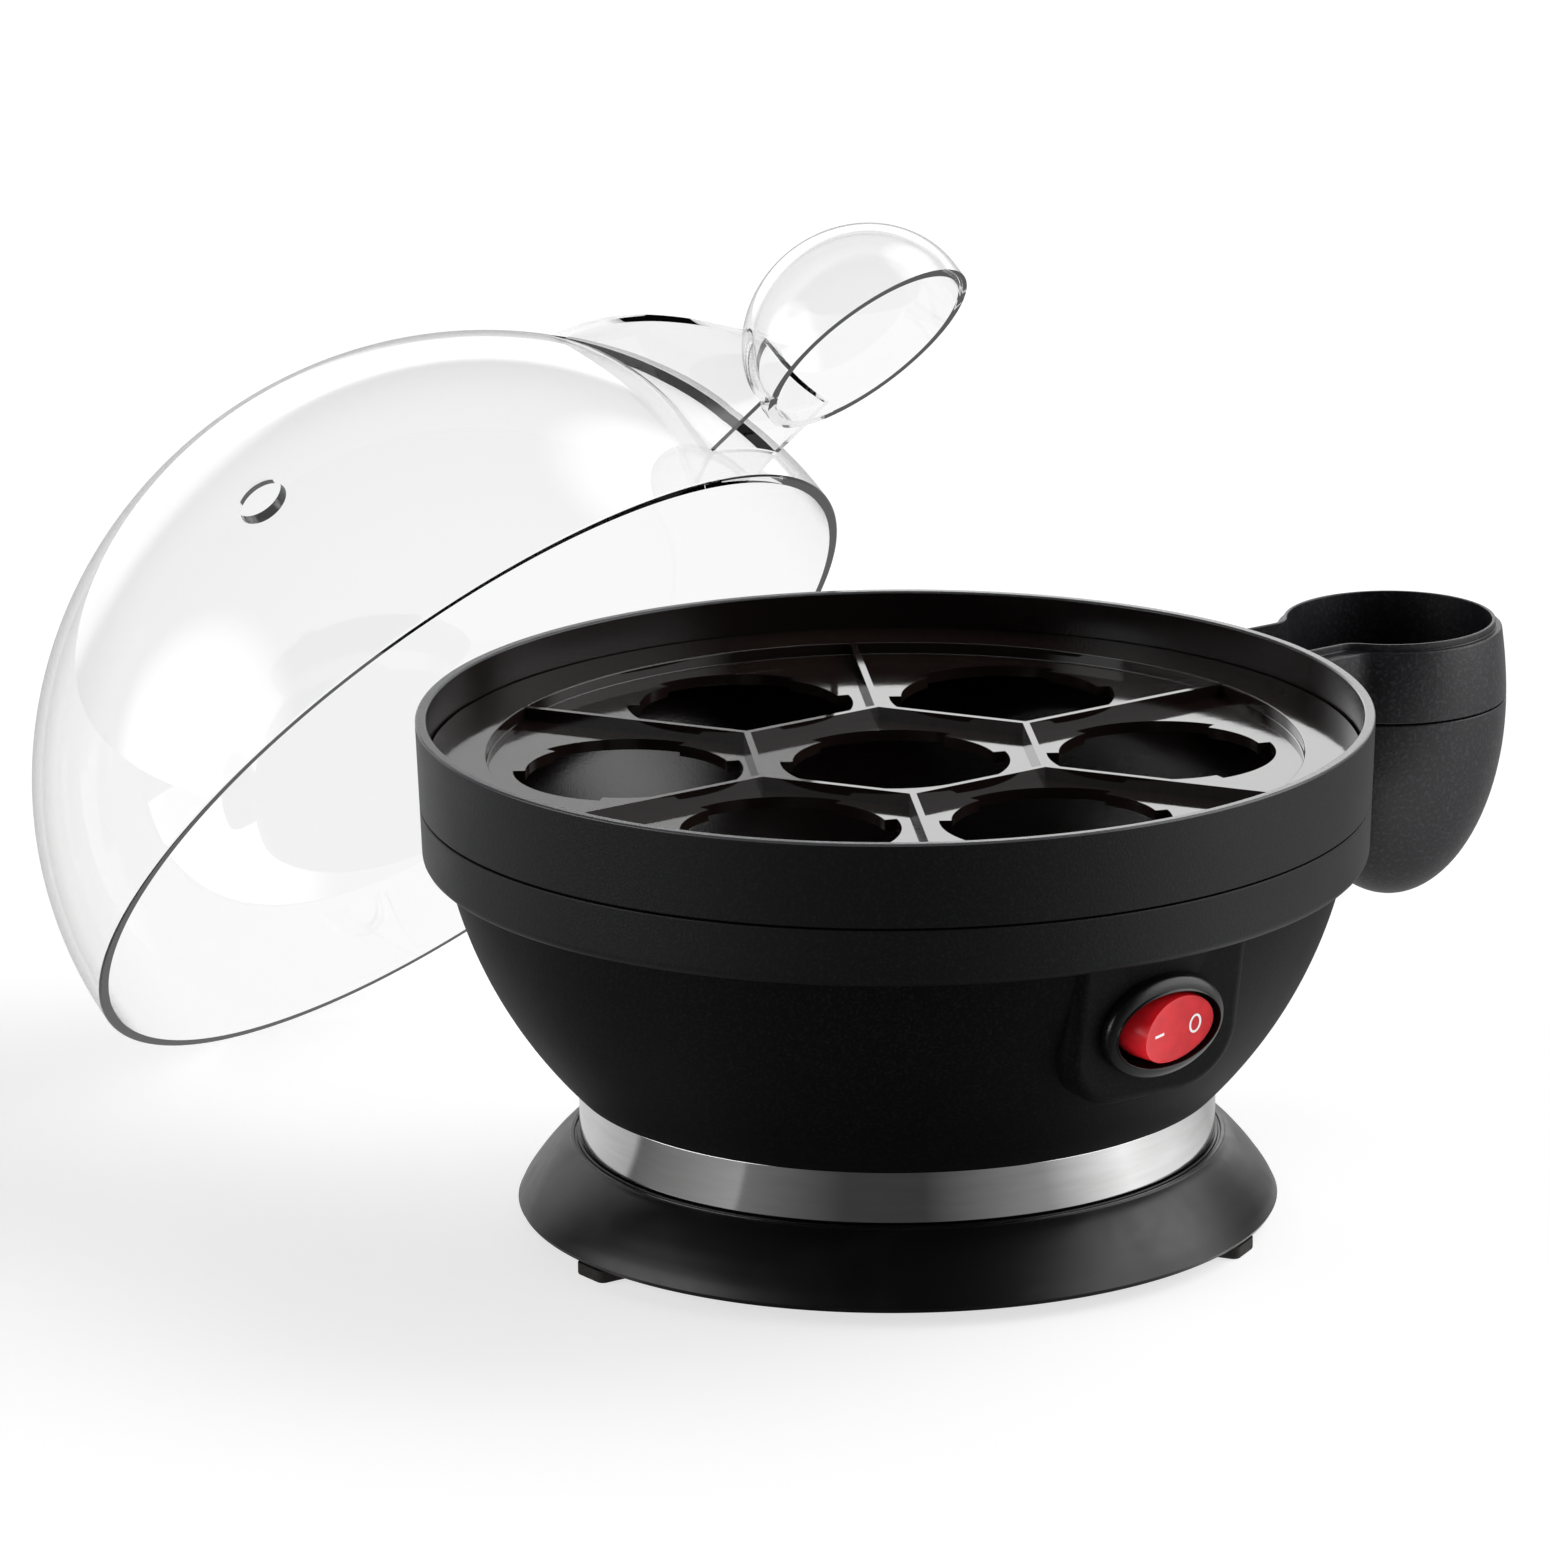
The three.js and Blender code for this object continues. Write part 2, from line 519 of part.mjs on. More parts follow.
// ---------------------------------------------------------------- heating plate and what is under it
const sealLow = FUNNEL_FOOT_Z + FIT;
const rimLow = sealLow + SEAL_T + FIT;
const plateWallR = PLATE_HOLE_R - 0.7;
const plateFloor = rimLow + PLATE_T - PLATE_DEPTH;
const plateLow = plateFloor - PLATE_T;
const spreaderTop = plateLow - FIT;
const spreaderLow = spreaderTop - SPREADER_T;
const elementZ = spreaderLow - FIT - ELEMENT_R;
const clampTop = elementZ - ELEMENT_R - FIT;
const clampLow = clampTop - CLAMP_T;

piece('heating_plate', turned([
  [0, plateLow], [plateWallR - 1.2, plateLow], [plateWallR, plateLow + 1.2], [plateWallR, rimLow],
  [funnelFootR - FIT - 0.4, rimLow], [funnelFootR - FIT - 0.4, rimLow + PLATE_T],
  [plateWallR - PLATE_T, rimLow + PLATE_T], [plateWallR - PLATE_T, plateFloor + 1],
  [plateWallR - PLATE_T - 1, plateFloor], [0, plateFloor],
]), steel);

piece('plate_seal', turned([
  [PLATE_HOLE_R, sealLow], [funnelFootR - 0.5, sealLow],
  [funnelFootR - 0.5, sealLow + SEAL_T], [PLATE_HOLE_R, sealLow + SEAL_T],
]), silicone);

const clampScrewSpots = [0, 120, 240].map((a) => polar(CLAMP_SCREW_PITCH_R, a + 30));

function heatSpreader() {
  const disc = turned([[0, spreaderLow], [SPREADER_R, spreaderLow], [SPREADER_R, spreaderTop],
    [0, spreaderTop]]);
  const bosses = clampScrewSpots.map((p) => bar(SCREW_R + 2, clampTop + 1.5, spreaderLow + 0.2, ...p));
  const holes = clampScrewSpots.map((p) => bar(SCREW_R + FIT, clampTop, spreaderLow, ...p));
  return joined([disc, ...bosses]).subtract(joined(holes));
}

function heatingElement() {
  const half = ELEMENT_ARC / 2;
  const start = rad(90 - half);
  class Loop extends THREE.Curve {
    getPoint(t, target = new THREE.Vector3()) {
      const a = start + rad(ELEMENT_ARC) * t;
      return target.set(ELEMENT_RING_R * Math.cos(a), ELEMENT_RING_R * Math.sin(a), elementZ);
    }
  }
  const section = new THREE.Shape();
  section.absarc(0, 0, ELEMENT_R, 0, 2 * Math.PI, false);
  const loop = solid(new THREE.ExtrudeGeometry(section,
    { steps: 20, curveSegments: 4, bevelEnabled: false, extrudePath: new Loop() }));
  const ends = [90 - half, 90 + half].map((a) =>
    bar(ELEMENT_R * 0.7, elementZ - ELEMENT_TAIL, elementZ, ...polar(ELEMENT_RING_R, a), 12));
  return joined([loop, ...ends]);
}

function plateClamp() {
  const armR = plateWallR + 0.9;
  const rimTop = FUNNEL_FOOT_Z - FUNNEL_WALL - FIT;
  const kneeZ = plateLow - 0.9;
  const dish = turned([
    [CLAMP_HOLE_R, clampLow], [34, clampLow], [armR + CLAMP_T, kneeZ - 0.7],
    [armR + CLAMP_T, rimTop - CLAMP_T], [funnelFootR + 0.5, rimTop - CLAMP_T],
    [funnelFootR + 0.5, rimTop], [armR, rimTop], [armR, kneeZ], [33.5, clampTop], [CLAMP_HOLE_R, clampTop],
  ]);
  const window = block([-16, 16], [-31.5, -20.5], [clampLow - 1, clampTop + 1]);
  const holes = clampScrewSpots.map((p) => bar(SCREW_R + FIT, clampLow - 1, clampTop + 1, ...p));
  return dish.subtract(joined([window, ...holes]));
}

function screw(headLow, reach, [x, y]) {
  return bar(SCREW_HEAD_R, headLow, headLow + SCREW_HEAD_H, x, y)
    .add(bar(SCREW_R, headLow + SCREW_HEAD_H / 2, reach, x, y));
}

piece('heat_spreader', heatSpreader(), aluminium);
piece('heating_element', heatingElement(), aluminium);
piece('plate_clamp', plateClamp(), steel);
clampScrewSpots.forEach((p, i) => {
  const headLow = clampLow - FIT - SCREW_HEAD_H;
  piece(`clamp_screw_${i + 1}`, screw(headLow, spreaderLow - 1, p), steel);
});

const thermostatBack = clampLow - 2.5;
const thermostatLow = thermostatBack - THERMOSTAT_BLADE_L;
function thermostat() {
  const top = spreaderLow - FIT;
  const body = bar(THERMOSTAT_R, thermostatBack, top, 0, 0, MID_AROUND);
  const blades = [-THERMOSTAT_BLADE_X, THERMOSTAT_BLADE_X].map((x) =>
    block([x - 0.4, x + 0.4], [-2.4, 2.4], [thermostatLow, thermostatBack + 1]));
  return joined([body, ...blades]);
}

const fuseZ = clampLow - FIT - 0.9 - FUSE_R;
const lying = (geometry) => geometry.rotateZ(Math.PI / 2);
const fuseBar = (r, length) => solid(lying(new THREE.CylinderGeometry(r, r, length, 12))
  .translate(0, FUSE_Y, fuseZ));

function fuseClip() {
  const half = FUSE_R + 1.4;
  const strap = block([-2.5, 2.5], [FUSE_Y - half, FUSE_Y + half], [fuseZ - half, clampLow - FIT]);
  return strap.subtract(fuseBar(FUSE_R + FIT, 20));
}

piece('thermostat', thermostat(), ceramic);
piece('thermal_fuse', fuseBar(FUSE_R, FUSE_L), ceramic);
piece('fuse_clip', fuseClip(), steel);

// ---------------------------------------------------------------- base
const bandIn = COLLAR_R + FIT;
const bandTop = BOWL_BOTTOM - FIT;
const bandLow = SKIRT_TOP + FIT;
piece('trim_band', turned([[bandIn, bandLow], [bandIn + BAND_T, bandLow], [bandIn + BAND_T, bandTop],
  [bandIn, bandTop]]), steel);

function baseSkirt() {
  const fall = SKIRT_TOP;
  const flare = [[0, 0], [0.09, 0.07], [0.2, 0.24], [0.45, 0.5], [0.78, 0.78], [1, 0.92], [1, 0.98]];
  const outside = flare.map(([across, down]) =>
    [SKIRT_TOP_R + (SKIRT_R - SKIRT_TOP_R) * across, SKIRT_TOP - fall * down]);
  const inner = COVER_R + FIT;
  return turned([...outside, [SKIRT_R - 0.4, 0], [inner, 0], [inner, COVER_T + FIT],
    [inner - 2, COVER_T + FIT], [SKIRT_TOP_R + 0.2, SKIRT_TOP - SKIRT_SLEEVE_H],
    [bandIn, SKIRT_TOP - SKIRT_SLEEVE_H], [bandIn, SKIRT_TOP]]);
}

function bottomCover() {
  const disc = turned([[0, 0], [COVER_R, 0], [COVER_R, COVER_T], [0, COVER_T]]);
  const holes = BOSS_ANGLES.map((a) => bar(SCREW_R + FIT, -1, COVER_T + 1, ...polar(BOSS_PITCH_R, a)));
  const pegs = FOOT_ANGLES.map((a) =>
    bar(FOOT_PEG_R + FIT, -1, COVER_T + 1, ...polar(FOOT_IN_R + FOOT_PEG_IN, a)));
  return disc.subtract(joined([...holes, ...pegs]));
}

function foot(angle) {
  const pad = block([FOOT_IN_R, FOOT_OUT_R], [-FOOT_W / 2, FOOT_W / 2], [-FOOT_H, -FIT]);
  const peg = bar(FOOT_PEG_R, -FIT - 0.5, COVER_T + FOOT_PEG_UP, FOOT_IN_R + FOOT_PEG_IN, 0);
  return pad.add(peg).rotate([0, 0, angle]);
}

piece('base_skirt', baseSkirt(), blackSatin);
piece('bottom_cover', bottomCover(), blackSatin);
FOOT_ANGLES.forEach((a, i) => piece(`foot_${i + 1}`, foot(a), rubber));
BOSS_ANGLES.forEach((a, i) => {
  const at = polar(BOSS_PITCH_R, a);
  piece(`cover_screw_${i + 1}`, screw(-FIT - SCREW_HEAD_H, SCREW_REACH, at), steel);
});

// ---------------------------------------------------------------- switch
function bezel() {
  const lip = 1;
  const bevel = { bevelEnabled: true, bevelThickness: lip, bevelSize: lip, bevelSegments: 1, curveSegments: 9 };
  const outer = prism(oval(BEZEL_W - 2 * lip, BEZEL_H - 2 * lip), FIT + lip, BEZEL_PROUD - lip, bevel);
  const opening = prism(oval(ROCKER_WELL_W, ROCKER_WELL_H), -5, 10, { curveSegments: 9 });
  return moved(outer.subtract(opening), onPad);
}

function lyingPin(radius, length) {
  return solid(new THREE.CylinderGeometry(radius, radius, length, 12).translate(0, 0, -ROCKER_PIVOT));
}

function switchBody() {
  const shell = prism(oval(BODY_W, BODY_H), -BODY_DEPTH, 0, { curveSegments: 9 });
  const well = prism(oval(ROCKER_WELL_W, ROCKER_WELL_H), -ROCKER_WELL_DEPTH, 5, { curveSegments: 9 });
  return moved(shell.subtract(well).subtract(lyingPin(ROCKER_PIN_R + FIT, BODY_H + 4)), onPad);
}

function rocker() {
  const side = new THREE.Shape();
  const half = ROCKER_W / 2;
  side.moveTo(-half + 2.5, -ROCKER_BELOW);
  side.lineTo(half - 2.5, -ROCKER_BELOW);
  side.lineTo(half, -1);
  side.lineTo(half - ROCKER_SLANT, ROCKER_TOP);
  side.quadraticCurveTo(0, ROCKER_TOP - 0.8, ROCKER_SLANT - half, ROCKER_TOP);
  side.lineTo(-half, -1);
  const across = prism(side, -ROCKER_H / 2, ROCKER_H / 2, { curveSegments: 4 }).rotate([90, 0, 0]);
  const button = across.intersect(prism(oval(ROCKER_W, ROCKER_H), -20, 20, { curveSegments: 9 }));
  const withPin = button.add(lyingPin(ROCKER_PIN_R, BODY_H - 1.2));
  const tilt = withPin.translate([0, 0, ROCKER_PIVOT]).rotate([0, ROCKER_ANGLE, 0])
    .translate([0, 0, -ROCKER_PIVOT]);
  return moved(tilt, onPad);
}

piece('switch_bezel', bezel(), blackSatin);
piece('switch_body', switchBody(), blackShell);
piece('rocker', rocker(), redClear);
const bladeBack = -BODY_DEPTH - FIT;
[-BLADE_X, BLADE_X].forEach((x, i) => {
  const [width, thick, length] = BLADE;
  const blade = block([x - width / 2, x + width / 2], [-BLADE_DOWN - thick / 2, -BLADE_DOWN + thick / 2],
    [bladeBack - length, bladeBack]);
  piece(`switch_terminal_${i + 1}`, moved(blade, onPad), brass);
});

// ---------------------------------------------------------------- cord inlet and wiring
function cordInlet() {
  const barrelR = INLET_HOLE_R - FIT;
  const profile = [[INLET_BORE_R, -INLET_BARREL], [barrelR, -INLET_BARREL], [barrelR, FIT],
    [INLET_FLANGE_R, FIT], [INLET_FLANGE_R - 0.5, FIT + INLET_FLANGE_T],
    [INLET_BORE_R + 0.4, FIT + INLET_FLANGE_T], [INLET_BORE_R, FIT + INLET_FLANGE_T - 0.5]];
  return turned(profile, SMALL_AROUND).rotate([-90, 0, 0]).translate([0, INLET_OUT, INLET_Z]);
}

const blockLow = COVER_T + FIT;
function terminalBlock() {
  const [width, depth, height] = BLOCK;
  const body = block([-width / 2, width / 2], [BLOCK_Y - depth / 2, BLOCK_Y + depth / 2],
    [blockLow, blockLow + height]);
  const holes = [-width / 4, width / 4].map((x) =>
    solid(new THREE.CylinderGeometry(2, 2, 3, 12).translate(x, BLOCK_Y - depth / 2, blockLow + height / 2)));
  return body.subtract(joined(holes));
}

piece('cord_inlet', cordInlet(), rubber);
piece('terminal_block', terminalBlock(), ceramic);

// Leads inside the base. Each leaves a terminal square to it and follows points chosen by hand.
function terminal(point, direction) {
  const at = new THREE.Vector3(...point);
  const out = new THREE.Vector3(...direction);
  return [FIT, LEAD_STUB].map((far) => at.clone().addScaledVector(out, far));
}

const blockEnd = (x) => terminal([x, BLOCK_Y - BLOCK[1] / 2, blockLow + BLOCK[2] / 2], [0, -1, 0]);
const thermostatEnd = (x) => terminal([x, 0, thermostatLow], [0, 0, -1]);
const fuseEnd = (side) => terminal([side * FUSE_L / 2, FUSE_Y, fuseZ], [side, 0, 0]);
const padDown = new THREE.Vector3(0, -1, 0).transformDirection(onPad);
const bladeEnd = (x) => terminal(
  new THREE.Vector3(x, -BLADE_DOWN - BLADE[1] / 2, bladeBack - BLADE[2] / 2).applyMatrix4(onPad), padDown);
const elementEnd = (side) =>
  terminal([...polar(ELEMENT_RING_R, 90 + side * ELEMENT_ARC / 2), elementZ - ELEMENT_TAIL], [0, 0, -1]);

const nearCollar = (inset, angle, z) => [...polar(COLLAR_R - inset, angle), z];
const leads = {
  lead_live: [blockEnd(-BLOCK[0] / 4), [[-14, 20, 8], [-26, -2, 8], nearCollar(13.38, -138.81, 12),
    nearCollar(4.79, -120.58, 22), nearCollar(-0.99, -100.12, 36)], bladeEnd(-BLADE_X)],
  lead_switched: [bladeEnd(BLADE_X), [nearCollar(-0.99, -79.88, 36), nearCollar(7.53, -60.26, 22),
    nearCollar(22.61, -32.74, 12), [16, -6, 12]], thermostatEnd(THERMOSTAT_BLADE_X)],
  lead_fused: [thermostatEnd(-THERMOSTAT_BLADE_X), [[-9, 4, 14], [-16, 12, 17]], fuseEnd(-1)],
  lead_element: [fuseEnd(1), [[17, 12, 19], [22, -4, 18], [19, -17, 17]], elementEnd(-1)],
  lead_neutral: [elementEnd(1), [[-18, -18, 15], [-18, -6, 12], [-10, 8, 8], [3, 18, 7]],
    blockEnd(BLOCK[0] / 4)],
};
for (const [name, [from, through, to]] of Object.entries(leads)) {
  const points = [...from, ...through.map((p) => new THREE.Vector3(...p)), ...to.reverse()];
  const section = new THREE.Shape();
  section.absarc(0, 0, LEAD_R, 0, 2 * Math.PI, false);
  const path = new THREE.CatmullRomCurve3(points, false, 'centripetal');
  const tube = new THREE.ExtrudeGeometry(section,
    { steps: 2 * (points.length - 1), curveSegments: 4, bevelEnabled: false, extrudePath: path });
  piece(name, solid(tube), name === 'lead_neutral' ? blueLead : brownLead);
}

export default object;
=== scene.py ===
# %% [markdown]
# An egg cooker: a black bowl on a flared foot, with a ring, a cup at its side and a rocker switch.
# Its clear lid has been taken off and leans behind it.
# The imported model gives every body, node and joint, and this script gives them their fine surfaces.

# %% The frame
import math

import bmesh
import bpy
import numpy as np
from mathutils import Matrix, Vector


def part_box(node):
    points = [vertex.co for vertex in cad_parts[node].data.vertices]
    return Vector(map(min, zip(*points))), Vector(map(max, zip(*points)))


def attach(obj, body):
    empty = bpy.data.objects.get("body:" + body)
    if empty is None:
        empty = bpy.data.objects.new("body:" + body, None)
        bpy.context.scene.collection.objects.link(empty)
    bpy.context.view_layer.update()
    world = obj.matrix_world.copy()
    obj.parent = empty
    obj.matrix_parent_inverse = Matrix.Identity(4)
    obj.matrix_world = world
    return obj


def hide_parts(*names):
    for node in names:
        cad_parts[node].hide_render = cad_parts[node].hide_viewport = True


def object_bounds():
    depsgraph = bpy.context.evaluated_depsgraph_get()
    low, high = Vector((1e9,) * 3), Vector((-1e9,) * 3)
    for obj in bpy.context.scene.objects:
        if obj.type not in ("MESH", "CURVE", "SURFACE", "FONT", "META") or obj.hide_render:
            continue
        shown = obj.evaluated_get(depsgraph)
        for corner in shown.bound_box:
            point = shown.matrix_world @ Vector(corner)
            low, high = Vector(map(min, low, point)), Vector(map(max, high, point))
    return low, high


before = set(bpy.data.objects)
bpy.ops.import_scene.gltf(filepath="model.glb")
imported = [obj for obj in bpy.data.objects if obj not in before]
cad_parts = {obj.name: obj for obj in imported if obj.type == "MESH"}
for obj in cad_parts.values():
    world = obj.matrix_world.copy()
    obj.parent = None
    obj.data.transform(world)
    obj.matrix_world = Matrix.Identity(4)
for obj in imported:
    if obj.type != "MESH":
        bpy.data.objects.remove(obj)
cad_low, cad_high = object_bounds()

MM = 0.001
TAU = 2 * math.pi
print("nodes in the frame:", len(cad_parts))

# %% [markdown]
# Sizes. What the frame can tell is read from it, in millimetres: the ring, the cup and the base.
# The rest are the maker's own small sizes, such as walls and edge rounds.


# %% Sizes
def corners_mm(node):
    """The lowest and highest corners of a node's box, in millimetres."""
    low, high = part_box(node)
    return np.array(low) / MM, np.array(high) / MM


band_low, band_high = corners_mm("trim_band")
plate_low, plate_high = corners_mm("heating_plate")
seal_low, foot_low = (corners_mm(name)[0] for name in ("plate_seal", "foot_1"))
upper_high, lower_high, rack_high, skirt_high, cover_high = (
    corners_mm(name)[1] for name in ("upper_housing", "lower_housing", "egg_rack", "base_skirt", "bottom_cover"))

FIT = 0.3
RING_R = upper_high[1]
RING_TOP = upper_high[2]
RING_WALL = 2.0
RING_FOOT_R = RING_R - 1.0
SPIGOT_H = 3.0
SEAM_Z = lower_high[2] - SPIGOT_H + FIT / 2
RING_BOTTOM = SEAM_Z - 10.6
SHELF_Z = rack_high[2]
BOWL_R = 81.6
BOWL_CENTRE_Z = 80.3
BOWL_BOTTOM = band_high[2] + FIT
CUP_R = 21.4
CUP_X = upper_high[0] - CUP_R
CUP_HEIGHT = 37.7
SEAM_GAP = FIT / 2
FINE = 256          # steps round a large turned piece
print(f"ring {2 * RING_R:.1f} mm across, top at {RING_TOP:.1f}, seam at {SEAM_Z:.1f}, cup at {CUP_X:.1f}")

# %% [markdown]
# Every new piece is a grid of points, worked out as arrays and put into a mesh in one go.
# Where two rows of the grid meet in a point or a seam, the doubles are merged, so that each piece is closed.


# %% Points and faces
def grid_faces(rows, columns, close_rows, close_columns):
    """Faces of a grid: each joins point (i, j) to its neighbours (i, j+1), (i+1, j+1) and (i+1, j)."""
    i = np.arange(rows if close_rows else rows - 1)
    j = np.arange(columns if close_columns else columns - 1)
    i, j = np.meshgrid(i, j, indexing="ij")
    here, across = i * columns + j, i * columns + (j + 1) % columns
    below, beyond = (i + 1) % rows * columns + j, (i + 1) % rows * columns + (j + 1) % columns
    return np.stack([here, across, beyond, below], -1).reshape(-1, 4)


def smooth(thing, degrees):
    """Smooth shading, with a hard line where two faces meet at more than the given angle."""
    thing.data.shade_smooth()
    thing.data.set_sharp_from_angle(angle=math.radians(degrees))


def made(name, points, faces, degrees=35.0):
    """A new closed piece from points in millimetres and four-sided faces, with its faces pointing out."""
    mesh = bpy.data.meshes.new(name)
    mesh.vertices.add(len(points))
    mesh.vertices.foreach_set("co", (np.asarray(points, float) * MM).ravel())
    mesh.loops.add(faces.size)
    mesh.loops.foreach_set("vertex_index", faces.ravel().astype(np.int32))
    mesh.polygons.add(len(faces))
    mesh.polygons.foreach_set("loop_start", np.arange(0, faces.size, 4, dtype=np.int32))
    mesh.update(calc_edges=True)
    work = bmesh.new()
    work.from_mesh(mesh)
    bmesh.ops.remove_doubles(work, verts=work.verts, dist=1e-7)
    bmesh.ops.recalc_face_normals(work, faces=work.faces)
    work.to_mesh(mesh)
    work.free()
    thing = bpy.data.objects.new(name, mesh)
    bpy.context.scene.collection.objects.link(thing)
    smooth(thing, degrees)
    return thing


def rounded(corners, steps=5):
    """A closed outline with round corners. Each corner is (x, y, radius): the arc touches both sides,
    and its centre lies on the corner's bisector, at radius / sin(half the corner's angle)."""
    points = []
    count = len(corners)
    for k, (x, y, radius) in enumerate(corners):
        here = np.array([x, y], float)
        back = np.array(corners[k - 1][:2], float) - here
        on = np.array(corners[(k + 1) % count][:2], float) - here
        if radius == 0:
            points.append(here)
            continue
        room = 0.49 * min(np.linalg.norm(back), np.linalg.norm(on))
        back /= np.linalg.norm(back)
        on /= np.linalg.norm(on)
        half = math.acos(np.clip(back @ on, -1, 1)) / 2
        reach = min(radius / math.tan(half), room)
        centre = here + (back + on) / np.linalg.norm(back + on) * reach / math.cos(half)
        start, end = here + back * reach - centre, here + on * reach - centre
        a = math.atan2(start[1], start[0])
        turn = (math.atan2(end[1], end[0]) - a + math.pi) % TAU - math.pi
        angle = a + turn * np.linspace(0, 1, steps + 1)
        size = np.linalg.norm(start)
        points.extend(centre + size * np.stack([np.cos(angle), np.sin(angle)], -1))
    return np.array(points)


def arc(centre_r, centre_z, radius_r, radius_z, start, end, steps):
    """Points on an ellipse, from one angle to another in degrees, each with no corner radius."""
    angle = np.radians(np.linspace(start, end, steps + 1))
    return [(centre_r + radius_r * math.cos(a), centre_z + radius_z * math.sin(a), 0) for a in angle]


def turned(name, corners, steps=FINE, degrees=35.0, centre=(0, 0)):
    """A turned piece: the rounded outline (r, z), carried once round the upright axis."""
    outline = rounded(corners)
    angle = np.arange(steps) * TAU / steps
    r, z = outline[:, :1], outline[:, 1:]
    points = np.stack([centre[0] + r * np.cos(angle), centre[1] + r * np.sin(angle),
                       z + 0 * angle], -1)
    return made(name, points.reshape(-1, 3), grid_faces(len(outline), steps, True, True), degrees)


def lofted(name, loops, close=False, degrees=35.0):
    """A piece carried through a stack of closed loops, each an array of points.
    An open stack starts and ends in loops that have shrunk to a point."""
    loops = np.asarray(loops, float)
    rows, columns = loops.shape[:2]
    return made(name, loops.reshape(-1, 3), grid_faces(rows, columns, close, True), degrees)


# %% [markdown]
# Joins and cuts are Boolean modifiers, taken as the piece's own mesh straight away.


# %% Joining and cutting
def settle(thing):
    """Takes what the modifiers make as the piece's own mesh."""
    graph = bpy.context.evaluated_depsgraph_get()
    mesh = bpy.data.meshes.new_from_object(thing.evaluated_get(graph))
    thing.modifiers.clear()
    thing.data = mesh
    return thing


def combined(base, tool, way, degrees=35.0):
    """base with tool joined to it (UNION) or taken out of it (DIFFERENCE). The tool is used up."""
    change = base.modifiers.new(way, "BOOLEAN")
    change.operation = way
    change.solver = "MANIFOLD"
    change.object = tool
    smooth(settle(base), degrees)
    bpy.data.objects.remove(tool)
    return base


def softened(thing, width, segments=2, degrees=35.0):
    """Rounds every edge sharper than the given angle with a Bevel modifier."""
    bevel = thing.modifiers.new("edge", "BEVEL")
    bevel.width = width * MM
    bevel.segments = segments
    bevel.limit_method = "ANGLE"
    bevel.angle_limit = math.radians(degrees)
    bevel.harden_normals = False
    smooth(settle(thing), degrees)
    return thing


def moved(thing, matrix):
    """Applies a matrix (its shift in millimetres) to the mesh itself, so that the object stays at the origin."""
    matrix = matrix.copy()
    matrix.translation *= MM
    thing.data.transform(matrix)
    return thing


def turn(axis, degrees):
    """The matrix of a turn about one axis."""
    return Matrix.Rotation(math.radians(degrees), 4, axis)


def shift(x, y, z):
    """The matrix of a shift."""
    return Matrix.Translation((x, y, z))


def around(radius, degrees):
    """The point at a radius and an angle from the upright axis: (radius * cos, radius * sin)."""
    return radius * math.cos(math.radians(degrees)), radius * math.sin(math.radians(degrees))


def at_height(loop, z):
    """A flat loop of (x, y) points, lifted to a height."""
    return np.column_stack([loop, np.full(len(loop), z)])


# %% [markdown]
# Camera, floor and light come first. The camera looks down a little from the left of the switch,
# from far off, so that the ring is a flat oval and its sides stay nearly upright.

# %% Camera
CAMERA_FAR = 24.0 * RING_R * MM
CAMERA_UP = 15.4368         # degrees above the table
CAMERA_ROUND = -36.0        # degrees round from straight in front of the switch
CAMERA_YAW = -0.6216        # the aim passes a little left of the ring's middle
CAMERA_PITCH = -15.7472
CAMERA_ROLL = -0.496
LENS = 267.69


def made_camera():
    """The camera on its circle round the ring's middle, turned by yaw, pitch and roll."""
    up, yaw, pitch = (math.radians(a) for a in (CAMERA_UP, CAMERA_YAW, CAMERA_PITCH))
    place = Vector((0, -math.cos(up), math.sin(up))) * CAMERA_FAR
    forward = Vector((math.sin(yaw) * math.cos(pitch), math.cos(yaw) * math.cos(pitch), math.sin(pitch)))
    roll = Matrix.Rotation(math.radians(CAMERA_ROLL), 3, -forward)
    right = roll @ forward.cross(Vector((0, 0, 1))).normalized()
    over = right.cross(forward)
    basis = Matrix((right, over, -forward)).transposed().to_4x4()
    data = bpy.data.cameras.new("camera")
    data.lens = LENS
    data.sensor_width = 36.0
    data.clip_end = 50.0
    camera = bpy.data.objects.new("camera", data)
    camera.matrix_world = (Matrix.Translation((0, 0, RING_TOP * MM)) @ turn("Z", CAMERA_ROUND)
                           @ Matrix.Translation(place) @ basis)
    bpy.context.scene.collection.objects.link(camera)
    bpy.context.scene.camera = camera
    return camera


camera = made_camera()
bpy.context.scene.view_settings.view_transform = "Standard"
print(f"camera {camera.matrix_world.translation.length:.2f} m from the foot, {CAMERA_UP:.1f} degrees up")


# %% [markdown]
# Light, floor and materials are all made of shader nodes. Writing each node's settings, values and links in
# one call keeps such a tree readable, so these small helpers come before anything that uses nodes.


# %% Node helpers
def node(tree, kind, inputs=None, **settings):
    """A new shader node with its settings and input values; an input that is a socket is linked."""
    new = tree.nodes.new(kind)
    for key, value in settings.items():
        setattr(new, key, value)
    for key, value in (inputs or {}).items():
        if isinstance(value, bpy.types.NodeSocket):
            tree.links.new(value, new.inputs[key])
        else:
            new.inputs[key].default_value = value
    return new


def math_node(tree, operation, first, second=0.0):
    """One sum: the operation on two values."""
    return node(tree, "ShaderNodeMath", {0: first, 1: second}, operation=operation).outputs[0]


def between(tree, mask, low, high, start=0.0, end=1.0):
    """A value that goes from low to high as the mask goes from start to end."""
    return node(tree, "ShaderNodeMapRange", {0: mask, 1: start, 2: end, 3: low, 4: high}).outputs[0]


